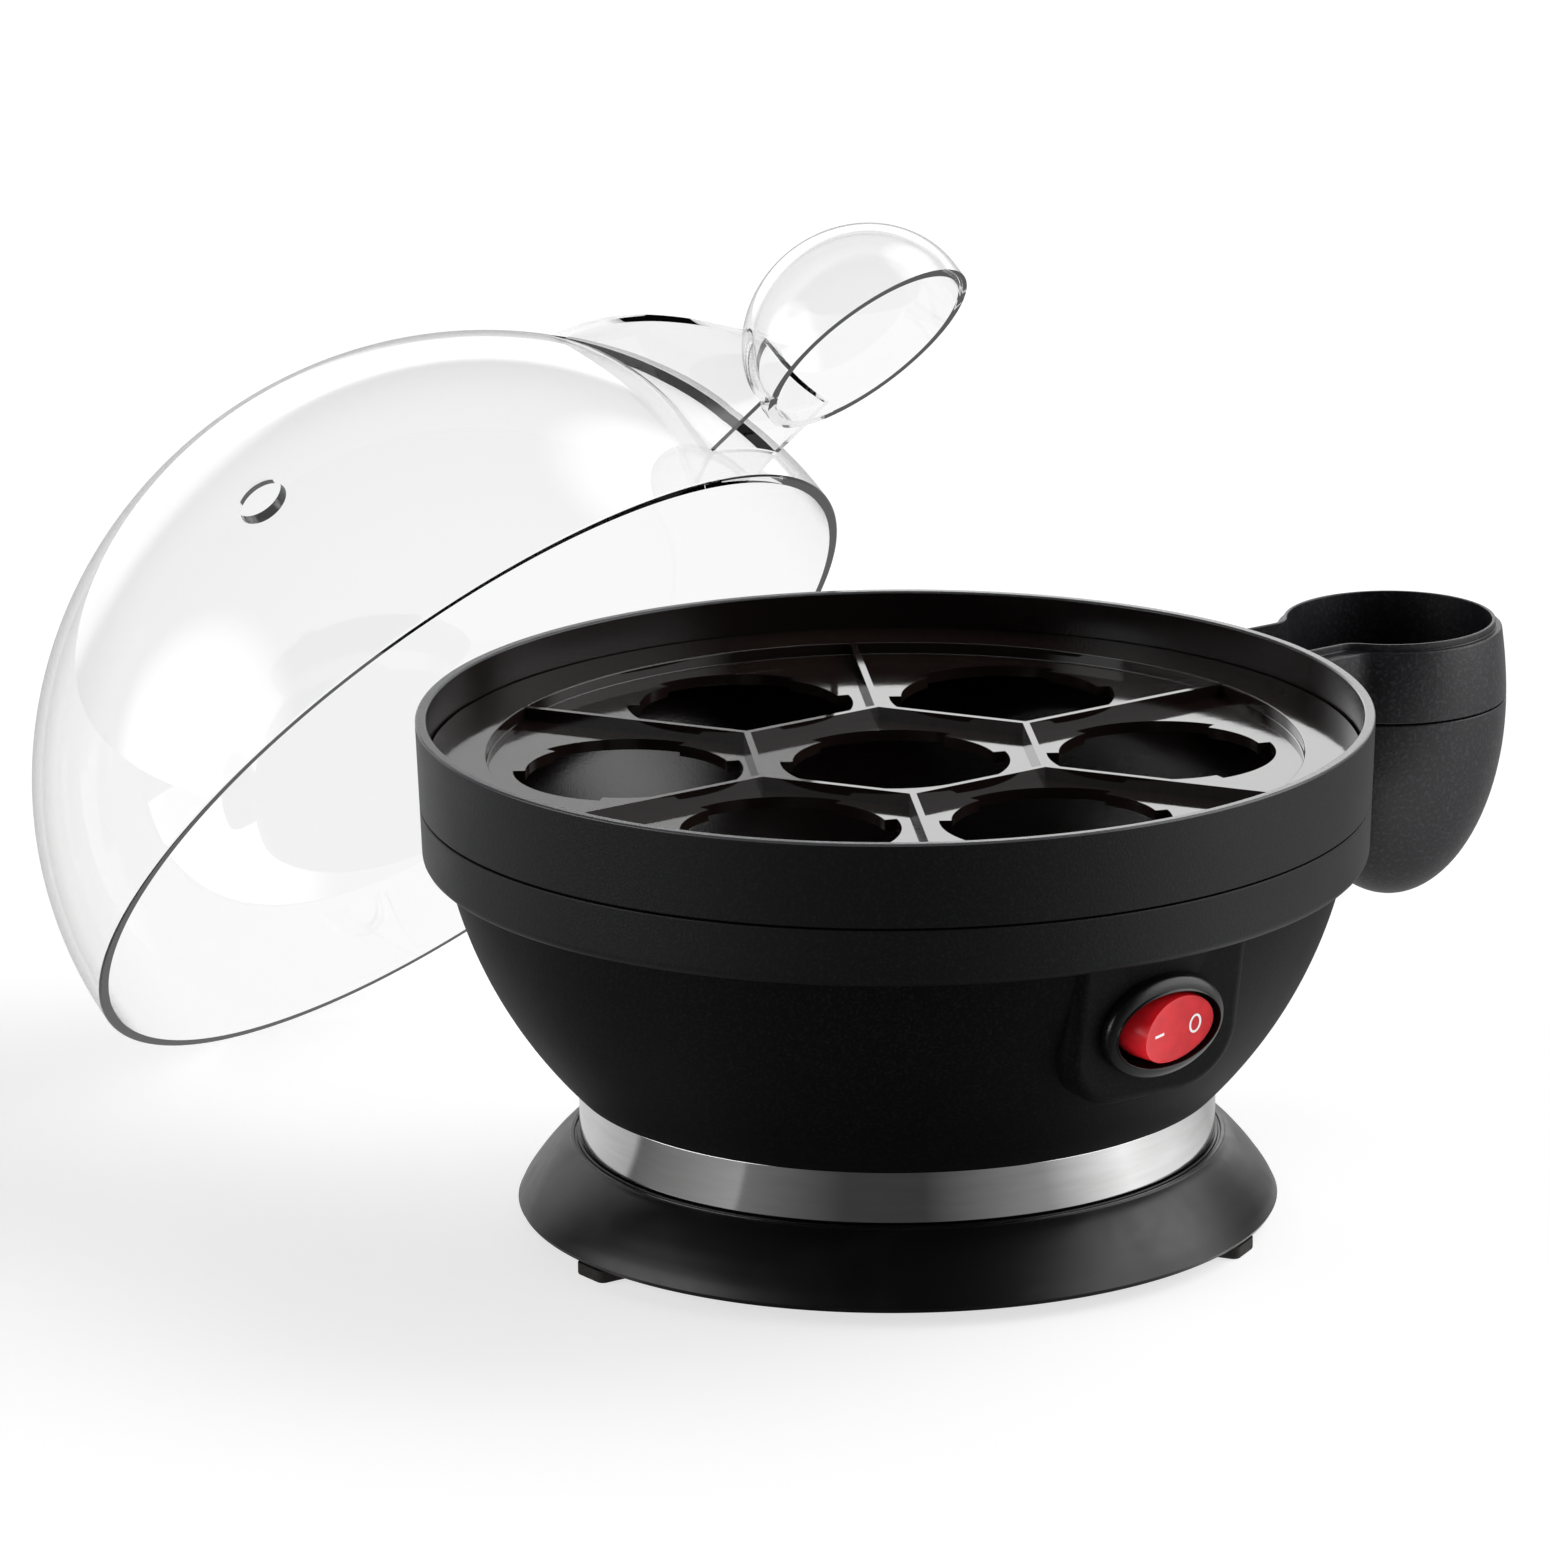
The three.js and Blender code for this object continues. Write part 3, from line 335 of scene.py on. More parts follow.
def mixed(tree, share, first, second, way="MIX"):
    """Two colours, each a socket or three numbers, mixed by a share."""
    first, second = (c if isinstance(c, bpy.types.NodeSocket) else (*c, 1) for c in (first, second))
    return node(tree, "ShaderNodeMix", {0: share, 6: first, 7: second}, data_type="RGBA",
                blend_type=way).outputs[2]


def noise(tree, place, scale, detail, **more):
    """The grey value of a noise texture."""
    return node(tree, "ShaderNodeTexNoise", {"Vector": place, "Scale": scale, "Detail": detail,
                                             **more}).outputs["Fac"]


def along(tree, place, way):
    """How far a point lies along a direction: their dot product."""
    return node(tree, "ShaderNodeVectorMath", {0: place, 1: tuple(way)}, operation="DOT_PRODUCT").outputs["Value"]


def from_axis(tree):
    """A point's x, y and z sockets, and its distance from the upright axis."""
    x, y, z = node(tree, "ShaderNodeSeparateXYZ", {0: node(tree, "ShaderNodeTexCoord").outputs["Object"]}).outputs
    flat = node(tree, "ShaderNodeCombineXYZ", {0: x, 1: y}).outputs[0]
    return x, y, z, node(tree, "ShaderNodeVectorMath", {0: flat}, operation="LENGTH").outputs["Value"]


def ramp(tree, value, stops, easing="EASE"):
    """A colour ramp: stops are (position, grey or colour)."""
    new = node(tree, "ShaderNodeValToRGB", {"Fac": value})
    new.color_ramp.interpolation = easing
    elements = new.color_ramp.elements
    while len(elements) < len(stops):
        elements.new(0.5)
    for element, (position, colour) in zip(elements, stops):
        element.position = position
        element.color = (colour, colour, colour, 1) if isinstance(colour, float) else (*colour, 1)
    return new.outputs["Color"]


# %% [markdown]
# The light is a studio's: soft round cards to the left and the right, a dark ceiling, which keeps the foot
# and the bowl black, and a low bright wall behind, which the wet-looking rack mirrors. What the eye sees
# directly or through the clear lid is plain white, so that the lid stays bright.


# %% Studio
SIDE = Vector((*around(1, CAMERA_ROUND), 0))
FRONT = Vector((SIDE.y, -SIDE.x, 0))


def made_studio():
    """The world's light by direction: four soft round cards to the sides, and a low bright wall behind."""
    world = bpy.data.worlds.new("studio")
    bpy.context.scene.world = world
    world.use_nodes = True
    tree = world.node_tree
    tree.nodes.clear()
    way = node(tree, "ShaderNodeTexCoord").outputs["Generated"]
    height = node(tree, "ShaderNodeSeparateXYZ", {0: way}).outputs["Z"]

    def card(right, back, up, stops):
        """A round card of light, by the cosine of the angle from its middle."""
        aim = (SIDE * right - FRONT * back + Vector((0, 0, up))).normalized()
        return ramp(tree, along(tree, way, aim), stops)

    def added(first, second, how="ADD"):
        return mixed(tree, 1.0, first, second, how)

    right_card = card(0.60, 0.34, 0.72, [(0.0, 0.03), (0.88, 0.05), (0.97, 2.6), (1.0, 3.4)])
    left_card = card(-0.45, 0.88, 0.12, [(0.0, 0.0), (0.92, 0.0), (0.975, 1.4), (1.0, 1.8)])
    far_left = card(-0.98, -0.25, 0.12, [(0.0, 0.0), (0.84, 0.0), (0.94, 3.0), (1.0, 3.4)])
    far_right = card(1.0, -0.1, 0.3, [(0.0, 0.0), (0.8, 0.0), (0.93, 2.6), (1.0, 2.8)])
    low_down = ramp(tree, height, [(0.0, 0.6), (0.08, 0.7), (0.16, 2.4), (0.42, 2.4), (0.52, 0.05), (1.0, 0.0)])
    from_back = between(tree, along(tree, way, FRONT), 0.0, 1.0, -1.0, 1.0)
    back = ramp(tree, from_back, [(0.0, 1.0), (0.06, 1.0), (0.1, 0.12), (0.2, 0.0), (0.6, 0.0)])
    wall = added(back, low_down, "MULTIPLY")
    room = added(added(added(right_card, left_card), added(far_left, far_right)), wall)
    lit = node(tree, "ShaderNodeBackground", {"Color": room, "Strength": 1.0}).outputs[0]
    seen = node(tree, "ShaderNodeBackground", {"Color": (1, 1, 1, 1), "Strength": 1.0}).outputs[0]
    path = node(tree, "ShaderNodeLightPath")
    direct = math_node(tree, "MAXIMUM", path.outputs["Is Camera Ray"], path.outputs["Is Transmission Ray"])
    both = node(tree, "ShaderNodeMixShader", {0: direct, 1: lit, 2: seen}).outputs[0]
    node(tree, "ShaderNodeOutputWorld", {"Surface": both})
    return world


print("studio nodes:", len(made_studio().node_tree.nodes))

# %% [markdown]
# The floor is a wide pale sheet under the feet. A polished band would mirror it as plain white, so gloss
# sees it as grey cards instead: their hard edges are what makes the steel look like steel.


# %% Floor
FLOOR_REACH = 6.0


def made_floor():
    """A square sheet at the height of the feet. Its cards go by the angle from the front: dim in front,
    bright to the right and behind, with two hard edges to the left."""
    mesh = bpy.data.meshes.new("floor")
    corners = [(x * FLOOR_REACH, y * FLOOR_REACH, cad_low[2]) for x, y in ((-1, -1), (1, -1), (1, 1), (-1, 1))]
    mesh.from_pydata(corners, [], [(0, 1, 2, 3)])
    floor = bpy.data.objects.new("floor", mesh)
    bpy.context.scene.collection.objects.link(floor)
    white = bpy.data.materials.new("floor_white")
    white.use_nodes = True
    tree = white.node_tree
    tree.nodes.clear()
    place = node(tree, "ShaderNodeTexCoord").outputs["Object"]
    angle = math_node(tree, "ARCTAN2", along(tree, place, SIDE), along(tree, place, FRONT))
    share = between(tree, angle, 0.0, 1.0, -math.pi, math.pi)
    cards = ramp(tree, share, [(0.0, 0.6), (0.197, 0.72), (0.2645, 0.5), (0.2665, 0.14), (0.375, 0.40),
                               (0.377, 0.20), (0.46, 0.05), (0.52, 0.05), (0.6156, 0.32), (0.693, 1.25),
                               (0.755, 1.0), (0.79, 0.75), (0.83, 0.5), (1.0, 0.6)], "LINEAR")
    lit = node(tree, "ShaderNodeBsdfDiffuse", {"Color": (0.5, 0.5, 0.5, 1)}).outputs[0]
    glow, in_gloss, through = (node(tree, "ShaderNodeEmission", {"Color": colour, "Strength": strength}).outputs[0]
                               for colour, strength in (((1, 1, 1, 1), 0.68), (cards, 1.0), ((1, 1, 1, 1), 0.97)))
    surface = node(tree, "ShaderNodeAddShader", {0: lit, 1: glow}).outputs[0]
    path = node(tree, "ShaderNodeLightPath").outputs
    for ray, shade in (("Is Glossy Ray", in_gloss), ("Is Transmission Ray", through)):
        surface = node(tree, "ShaderNodeMixShader", {0: path[ray], 1: surface, 2: shade}).outputs[0]
    node(tree, "ShaderNodeOutputMaterial", {"Surface": surface})
    mesh.materials.append(white)
    return floor


print("floor at", round(made_floor().data.vertices[0].co.z / MM, 2), "mm")

# %% [markdown]
# Moulded plastic has a fine grain from its mould, a faint cloudiness and small flecks where the
# grain catches light. One node group makes all three, and each material sets its own scale and depth.


# %% Shared surface effects
def new_group(name, inputs, outputs):
    """An empty node group with named value inputs (with defaults) and outputs."""
    group = bpy.data.node_groups.new(name, "ShaderNodeTree")
    for label, value in inputs.items():
        socket = group.interface.new_socket(label, in_out="INPUT", socket_type="NodeSocketFloat")
        socket.default_value = value
    for label in outputs:
        group.interface.new_socket(label, in_out="OUTPUT", socket_type="NodeSocketFloat")
    return group, group.nodes.new("NodeGroupInput"), group.nodes.new("NodeGroupOutput")


def made_grain():
    """Grain: two sizes of noise make the height, their bright peaks the flecks, and a slow noise the cloud."""
    group, given, result = new_group("moulded_grain", {"Scale": 2200.0, "Cloud Scale": 45.0},
                                     ["Height", "Fleck", "Cloud"])
    place = node(group, "ShaderNodeTexCoord").outputs["Object"]
    fine = noise(group, place, given.outputs["Scale"], 2.0, Roughness=0.55)
    cloud = noise(group, place, given.outputs["Cloud Scale"], 3.0)
    fleck = between(group, fine, 0.0, 1.0, 0.5, 0.72)
    group.links.new(fine, result.inputs["Height"])
    group.links.new(fleck, result.inputs["Fleck"])
    group.links.new(cloud, result.inputs["Cloud"])
    return group


def made_brushing():
    """Brushing: noise drawn out long round the upright axis, by the angle about it, and short up it."""
    group, given, result = new_group("brushing", {"Along": 6.0, "Across": 5200.0}, ["Height", "Streak"])
    x, y, z, _ = from_axis(group)
    length = math_node(group, "MULTIPLY", math_node(group, "ARCTAN2", y, x), given.outputs["Along"])
    across = math_node(group, "MULTIPLY", z, given.outputs["Across"])
    drawn = node(group, "ShaderNodeCombineXYZ", {0: length, 1: across}).outputs[0]
    fine = noise(group, drawn, 1.0, 4.0)
    slow = node(group, "ShaderNodeCombineXYZ", {0: length, 1: math_node(group, "MULTIPLY", across, 0.16)}).outputs[0]
    streak = noise(group, slow, 0.6, 3.0)
    group.links.new(fine, result.inputs["Height"])
    group.links.new(streak, result.inputs["Streak"])
    return group


def made_spinning():
    """Spinning marks: noise by the distance from the upright axis, so that the lines are rings."""
    group, given, result = new_group("spinning", {"Scale": 1500.0}, ["Height"])
    _, _, z, out = from_axis(group)
    rings = math_node(group, "MULTIPLY", out, given.outputs["Scale"])
    line = node(group, "ShaderNodeCombineXYZ", {0: rings, 1: z}).outputs[0]
    group.links.new(noise(group, line, 1.0, 3.0), result.inputs["Height"])
    return group


def made_handling():
    """Handling marks: patchy noise, such as fingers and wiping leave on a gloss surface."""
    group, given, result = new_group("handling", {"Scale": 60.0, "Low": 0.45, "High": 0.75}, ["Mask"])
    place = node(group, "ShaderNodeTexCoord").outputs["Object"]
    patch = noise(group, place, given.outputs["Scale"], 6.0, Roughness=0.6, Distortion=0.6)
    mask = between(group, patch, 0.0, 1.0, given.outputs["Low"], given.outputs["High"])
    group.links.new(mask, result.inputs["Mask"])
    return group


GRAIN, BRUSHING, SPINNING, HANDLING = made_grain(), made_brushing(), made_spinning(), made_handling()
print("surface effects:", [group.name for group in bpy.data.node_groups])

# %% [markdown]
# Materials. Each starts from the same small helper: a Principled shader, its plain values on its own
# sockets, and a place to link the effects that change over the surface.


# %% Material helpers
def paint(name, colour, roughness, **plain):
    """A material with a Principled shader; plain holds values set on the shader's own sockets."""
    material = bpy.data.materials.new(name)
    material.use_nodes = True
    material.diffuse_color = (*colour, 1)
    tree = material.node_tree
    shader = tree.nodes["Principled BSDF"]
    shader.inputs["Base Color"].default_value = (*colour, 1)
    shader.inputs["Roughness"].default_value = roughness
    for label, value in plain.items():
        shader.inputs[label.replace("_", " ")].default_value = value
    return material, tree, shader


def effect(tree, group, **values):
    """A group node with its own values."""
    new = tree.nodes.new("ShaderNodeGroup")
    new.node_tree = group
    for label, value in values.items():
        new.inputs[label.replace("_", " ")].default_value = value
    return new.outputs


def feed(tree, shader, **values):
    """Links values that change over the surface to the shader's sockets."""
    for label, value in values.items():
        tree.links.new(value, shader.inputs[label.replace("_", " ")])


def bumped(tree, shader, height, distance, strength=1.0):
    """Feeds a height in metres times distance to the shader's normal."""
    bump = node(tree, "ShaderNodeBump", {"Height": height, "Distance": distance, "Strength": strength})
    tree.links.new(bump.outputs["Normal"], shader.inputs["Normal"])


def moulded(name, colour, fleck, roughness, scale, depth, level):
    """Grained plastic: fleck is the colour of the grain's peaks, depth its height in metres."""
    material, tree, shader = paint(name, colour, roughness, Specular_IOR_Level=level)
    grain = effect(tree, GRAIN, Scale=scale)
    feed(tree, shader, Base_Color=mixed(tree, grain["Fleck"], colour, fleck),
         Roughness=between(tree, grain["Cloud"], roughness - 0.05, roughness + 0.07))
    bumped(tree, shader, grain["Height"], depth)
    return material


def glossy(name, colour, roughness, level, marks=0.12, scale=60.0):
    """Smooth plastic with faint handling marks in its gloss."""
    material, tree, shader = paint(name, colour, roughness, Specular_IOR_Level=level)
    mask = effect(tree, HANDLING, Scale=scale)["Mask"]
    feed(tree, shader, Roughness=between(tree, mask, roughness, roughness + marks))
    bumped(tree, shader, effect(tree, GRAIN, Scale=300.0)["Height"], 0.00002, 0.4)
    return material


# %% [markdown]
# The black plastics differ in grain and sheen. The shell has a fine matt grain; the bowl is the same plastic, painted
# a little darker and with hardly any sheen, which is painted shade. The cup has a coarser grain with grey flecks, and
# its lighter colour and flecks are painted light; the foot is satin and the rack almost a mirror.
# Each row is the colour, its flecks, the roughness, the grain's scale and depth, and the level of sheen.

# %% Plastics
SHELL_LOOK = ((0.0014, 0.0017, 0.0016), (0.0055, 0.0064, 0.0062), 0.50, 1900.0, 0.00004, 0.3)
black_shell = moulded("black_shell", *SHELL_LOOK)
# The bowl: the shell's plastic painted darker and with less sheen, as painted shade.
bowl_painted_shade = moulded("bowl_painted_shade", (0.0012, 0.0013, 0.0012), (0.0058, 0.0058, 0.0056), 0.56, 1900.0, 0.00004, 0.12)
# The cup: a coarser grain of its own, with a lighter colour and brighter flecks that are painted light.
cup_grain_and_painted_light = moulded("cup_grain_and_painted_light", (0.0058, 0.0055, 0.0076), (0.030, 0.029, 0.036), 0.40, 1500.0, 0.00006, 0.5)
black_satin = glossy("black_satin", (0.0013, 0.0012, 0.0017), 0.33, 0.4)
black_bezel = moulded("black_bezel", (0.003, 0.003, 0.003), (0.007, 0.007, 0.0075), 0.27, 2600.0, 0.00002, 0.5)
rack_brown = glossy("rack_brown", (0.012, 0.0075, 0.0065), 0.06, 0.5, 0.05, 40.0)
rubber = moulded("rubber", (0.012, 0.009, 0.008), (0.02, 0.016, 0.014), 0.7, 900.0, 0.0001, 0.3)
silicone = moulded("silicone", (0.30, 0.05, 0.025), (0.36, 0.08, 0.05), 0.6, 700.0, 0.00005, 0.4)
ceramic = moulded("ceramic", (0.62, 0.58, 0.50), (0.70, 0.67, 0.60), 0.75, 1200.0, 0.00008, 0.3)
brown_lead = moulded("brown_lead", (0.12, 0.05, 0.025), (0.15, 0.07, 0.04), 0.5, 900.0, 0.00003, 0.4)
blue_lead = moulded("blue_lead", (0.02, 0.06, 0.24), (0.03, 0.08, 0.3), 0.5, 900.0, 0.00003, 0.4)
print("plastics:", len(bpy.data.materials))

# %% [markdown]
# The mould is polished where the lid and the rack slide in, so the ring's inside wall and its top edge are glossy.
# The inside wall is a dark brown, and the top edge's lighter grey is a painted highlight. Two masks, by the distance
# from the axis and by the height, say where.

# %% Polished inside of the ring, and a painted highlight on its top edge
POLISHED = 0.22
# The first colour is the inside wall's dark brown; the second, the top edge's lighter grey, is a painted highlight.
INSIDE_BROWN, EDGE_PAINTED_HIGHLIGHT = (0.0085, 0.0055, 0.005), (0.075, 0.075, 0.08)


def made_ring_shell(name, inner_mm, top_mm):
    """The shell's own plastic, but polished and dark brown within the inner radius, and polished with a painted
    highlight of lighter grey above the top edge's height.
    """
    material = moulded(name, *SHELL_LOOK)
    tree = material.node_tree
    shader = tree.nodes["Principled BSDF"]
    _, _, z, out = from_axis(tree)
    inside = math_node(tree, "LESS_THAN", out, (inner_mm + 0.15) * MM)
    # The top mask marks the ring's top edge, where the painted highlight goes.
    top = math_node(tree, "GREATER_THAN", z, (top_mm - 0.35) * MM)
    polished = math_node(tree, "MAXIMUM", inside, top)
    colour, rough = (shader.inputs[label].links[0].from_socket for label in ("Base Color", "Roughness"))
    # On the top edge the colour is the lighter grey of a painted highlight; within the inner radius it is the dark
    # brown.
    brown_and_painted_highlight = mixed(tree, top, INSIDE_BROWN, EDGE_PAINTED_HIGHLIGHT)
    feed(tree, shader, Base_Color=mixed(tree, polished, colour, brown_and_painted_highlight),
         Roughness=node(tree, "ShaderNodeMix", {0: polished, 2: rough, 3: POLISHED}).outputs[0])
    return material


ring_shell = made_ring_shell("ring_shell", RING_R - RING_WALL, RING_TOP)
print("ring shell nodes:", len(ring_shell.node_tree.nodes))

# %% [markdown]
# The lid is clear moulded plastic. Face on it is nearly colourless; where the eye looks along the wall and
# through more of it, it turns grey, which draws the outline of dome, rim and ridge.


# %% Clear plastic
def made_clear():
    """Full transmission; the tint goes by how far the surface faces away, the haze by handling marks."""
    material, tree, shader = paint("clear_plastic", (0.985, 0.99, 0.99), 0.0, Transmission_Weight=1.0, IOR=1.49)
    slant = node(tree, "ShaderNodeLayerWeight", {"Blend": 0.5}).outputs["Facing"]
    mask = effect(tree, HANDLING, Scale=25.0, Low=0.5, High=0.9)["Mask"]
    feed(tree, shader,
         Base_Color=ramp(tree, slant, [(0.0, 0.99), (0.45, 0.975), (0.74, 0.90), (0.92, 0.62), (1.0, 0.25)]),
         Roughness=between(tree, mask, 0.0, 0.035))
    return material


clear_plastic = made_clear()
print("clear plastic nodes:", len(clear_plastic.node_tree.nodes))

# %% [markdown]
# Metals. The band is brushed round and round, the heating plate is spun, so its lines are rings, and the
# small parts are cast or rolled, with a grain and duller patches.


# %% Metals
def made_brushed():
    """Brushed steel: long fine streaks round the band change its height, tone and roughness."""
    material, tree, shader = paint("brushed_band", (0.66, 0.65, 0.64), 0.15, Metallic=1.0)
    streaks = effect(tree, BRUSHING)
    feed(tree, shader, Base_Color=mixed(tree, streaks["Streak"], (0.58, 0.575, 0.57), (0.76, 0.76, 0.765)),
         Roughness=between(tree, streaks["Height"], 0.05, 0.13))
    bumped(tree, shader, streaks["Height"], 0.00001, 0.4)
    return material


def made_spun(name, colour, roughness):
    """Spun metal: rings about the axis change its height and roughness."""
    material, tree, shader = paint(name, colour, roughness, Metallic=1.0)
    rings = effect(tree, SPINNING)["Height"]
    feed(tree, shader, Roughness=between(tree, rings, roughness - 0.08, roughness + 0.1))
    bumped(tree, shader, rings, 0.00004, 0.7)
    return material


def made_cast(name, colour, roughness):
    """Cast or rolled metal with a grain and patches of dullness."""
    material, tree, shader = paint(name, colour, roughness, Metallic=1.0)
    grain = effect(tree, GRAIN, Scale=600.0, Cloud_Scale=90.0)
    feed(tree, shader, Roughness=between(tree, grain["Cloud"], roughness - 0.1, roughness + 0.15))
    bumped(tree, shader, grain["Height"], 0.00005, 0.5)
    return material


brushed_band = made_brushed()
plate_steel = made_spun("plate_steel", (0.56, 0.55, 0.54), 0.25)
aluminium = made_cast("aluminium", (0.55, 0.56, 0.57), 0.45)
steel_plain = made_cast("steel_plain", (0.58, 0.57, 0.56), 0.35)
brass = made_cast("brass", (0.72, 0.52, 0.22), 0.32)
print("metals:", [m.name for m in (brushed_band, plate_steel, aluminium, steel_plain, brass)])

# %% [markdown]
# The rocker is translucent red, with a lamp's cloudy glow in it, and its two marks are printed in white.


# %% Red and white
def made_red():
    """Translucent red: light passes a little way in, and a cloud changes how deep the red is."""
    material, tree, shader = paint("red_clear", (0.62, 0.012, 0.018), 0.2, IOR=1.45, Specular_IOR_Level=0.28,
                                   Subsurface_Weight=0.6, Subsurface_Scale=0.003,
                                   Subsurface_Radius=(1.0, 0.12, 0.1))
    grain = effect(tree, GRAIN, Scale=500.0, Cloud_Scale=260.0)
    feed(tree, shader, Base_Color=mixed(tree, grain["Cloud"], (0.40, 0.004, 0.008), (0.86, 0.022, 0.034)),
         Roughness=between(tree, grain["Cloud"], 0.18, 0.32))
    bumped(tree, shader, grain["Height"], 0.00003, 0.5)
    return material


def made_ink():
    """White pad-printed ink, a little uneven."""
    material, tree, shader = paint("mark_white", (0.9, 0.9, 0.9), 0.45)
    grain = effect(tree, GRAIN, Scale=1800.0)
    feed(tree, shader, Base_Color=mixed(tree, grain["Cloud"], (0.82, 0.82, 0.82), (0.95, 0.95, 0.95)))
    return material


red_clear, mark_white = made_red(), made_ink()
print("switch finishes:", red_clear.name, mark_white.name)

# %% [markdown]
# Every new piece is finished in the same way: its normals are weighted by the size of its faces, which keeps
# each flat face flat right up to the rounds at its edges, and it is told which body it moves with.


# %% Placing a piece
def placed(thing, material, body, slot, *nodes):
    """Gives a new piece its normals, material and body, and says which nodes it stands for."""
    weigh = thing.modifiers.new("flat faces", "WEIGHTED_NORMAL")
    weigh.keep_sharp = True
    weigh.weight = 60
    settle(thing)
    thing.data.materials.clear()
    thing.data.materials.append(material)
    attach(thing, body)
    if nodes:
        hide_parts(*nodes)
    print(f"{thing.name}: {len(thing.data.polygons)} faces on {body}")
    return thing


# %% [markdown]
# The upper housing is one moulding: the band of the ring, a ledge inside it for the rack, and a funnel
# down to the heating plate. Its outline is turned, with small rounds where the mould has them.

# %% Upper housing
EDGE = 0.45
LEDGE_REACH = 8.0
PLATE_HOLE_R = 45.5
ring_in = RING_R - RING_WALL
ledge = SHELF_Z - RING_WALL - FIT
ledge_hole = ring_in - LEDGE_REACH
funnel_top = ledge - 3.1
funnel_foot = seal_low[2] - FIT
funnel_foot_r = PLATE_HOLE_R + 3.5
seam_high, seam_low = SEAM_Z + SEAM_GAP, SEAM_Z - SEAM_GAP
ring_slope = (RING_R - RING_FOOT_R) / (RING_TOP - RING_BOTTOM)


def ring_radius(z):
    """The band's outside radius at a height: a straight draft from foot to top."""
    return RING_FOOT_R + ring_slope * (z - RING_BOTTOM)


upper_ring = turned("upper_ring", [
    (ring_radius(seam_high), seam_high, 0.3), (RING_R, RING_TOP, EDGE), (ring_in, RING_TOP, EDGE),
    (ring_in, ledge, 0.5), (ledge_hole, ledge, 0.8), (ledge_hole, funnel_top, 2.0),
    (funnel_foot_r, funnel_foot, 1.5), (PLATE_HOLE_R, funnel_foot, 0.3), (PLATE_HOLE_R, funnel_foot - 2, 0.3),
    (funnel_foot_r + 1.0, funnel_foot - 2, 2.0), (ledge_hole + 1.5, funnel_top - 1.3, 2.0),
    (ledge_hole + 2, ledge - 2, 0.5), (ring_in, ledge - 2, 0.5), (ring_in, seam_high, 0.2),
])
placed(upper_ring, ring_shell, "base", "black_shell", "upper_housing")

# %% [markdown]
# The cup at the side hangs from a neck. Seen from above its outline is a circle and a straight neck with
# fillets between them; below the neck only the circle goes on, shrinking like the end of an egg.

# %% Cup outlines
NECK_HALF = 13.0
NECK_WELL_HALF = 9.1
FILLET = 5.0
CUP_WELL_R = 18.7
CUP_LIP_T = 0.65
CUP_WIDE_Z = SEAM_Z + FIT
CUP_LEDGE_Z = RING_TOP - 2.1
CUP_LIP_Z = RING_TOP - 0.8
NECK_START = RING_R - 1.4          # inside the band's wall
NECK_WELL_START = RING_R - 0.7
CUP_TAPER = 0.9
CUP_STEPS = (10, 14, 96)           # points on the neck's side, on a fillet, on the cup


def cup_outline(half, radius, start, z):
    """A loop of points: neck side, fillet, cup circle, fillet, neck side, and back along the start."""
    side, bend, round_cup = CUP_STEPS
    dy = half + FILLET
    dx = math.sqrt((radius + FILLET) ** 2 - dy ** 2)
    lean = math.atan2(dy, dx)
    line = np.linspace(start, CUP_X - dx, side, endpoint=False)
    lower_side = np.stack([line, np.full(side, -half)], -1)
    a = np.linspace(math.pi / 2, lean, bend, endpoint=False)
    lower_bend = np.stack([CUP_X - dx + FILLET * np.cos(a), -dy + FILLET * np.sin(a)], -1)
    a = np.linspace(math.pi + lean, 3 * math.pi - lean, round_cup)
    cup = np.stack([CUP_X + radius * np.cos(a), radius * np.sin(a)], -1)
    y = np.linspace(half, -half, side, endpoint=False)[1:]
    back = np.stack([np.full(len(y), start), y], -1)
    loop = np.concatenate([lower_side, lower_bend, cup, lower_bend[::-1] * [1, -1],
                           lower_side[::-1] * [1, -1], back])
    return at_height(loop, z)


def cup_circle(radius, z, like):
    """A plain circle with as many points as the loop it follows, each in the same direction from the axis."""
    side, bend, round_cup = CUP_STEPS
    first = side + bend
    a = np.arctan2(like[:, 1], like[:, 0] - CUP_X)
    lean = math.pi - abs(a[first])
    count = len(like) - round_cup
    rest = np.linspace(math.pi - lean, math.pi + lean, count + 2)[1:-1]
    angle = np.empty(len(like))
    angle[first:first + round_cup] = np.linspace(math.pi + lean, 3 * math.pi - lean, round_cup)
    order = np.roll(np.arange(len(like)), -(first + round_cup))[:count]
    angle[order] = rest
    return at_height(np.stack([CUP_X + radius * np.cos(angle), radius * np.sin(angle)], -1), z)


def bulb_radius(radius, height, z):
    """The cup's radius at a height below its widest level: a quarter of an ellipse."""
    return radius * math.sqrt(max(0.0, 1 - ((CUP_WIDE_Z - z) / height) ** 2))


def bulb(radius, height, low, steps, like):
    """Circles from the bulb's tip up to a height, spaced evenly round the quarter ellipse."""
    last = math.asin((CUP_WIDE_Z - low) / height)
    return [cup_circle(radius * math.cos(a), CUP_WIDE_Z - height * math.sin(a), like)
            for a in np.linspace(math.pi / 2, last, steps)]


print("points in the cup's outline:", len(cup_outline(NECK_HALF, CUP_R, NECK_START, 0)))

# %% [markdown]
# Upper half of the cup: up the outside from the seam, drawn in a little towards the ledge, over the thin lip,
# and down the well. Lower half: up the bulb from its tip, round the neck's lower edge to the seam, and back
# down the inside.


# %% Cup
SEAM_EDGE, LEDGE_EDGE, LIP_EDGE, NECK_EDGE = 0.25, 0.35, 0.2, 2.0


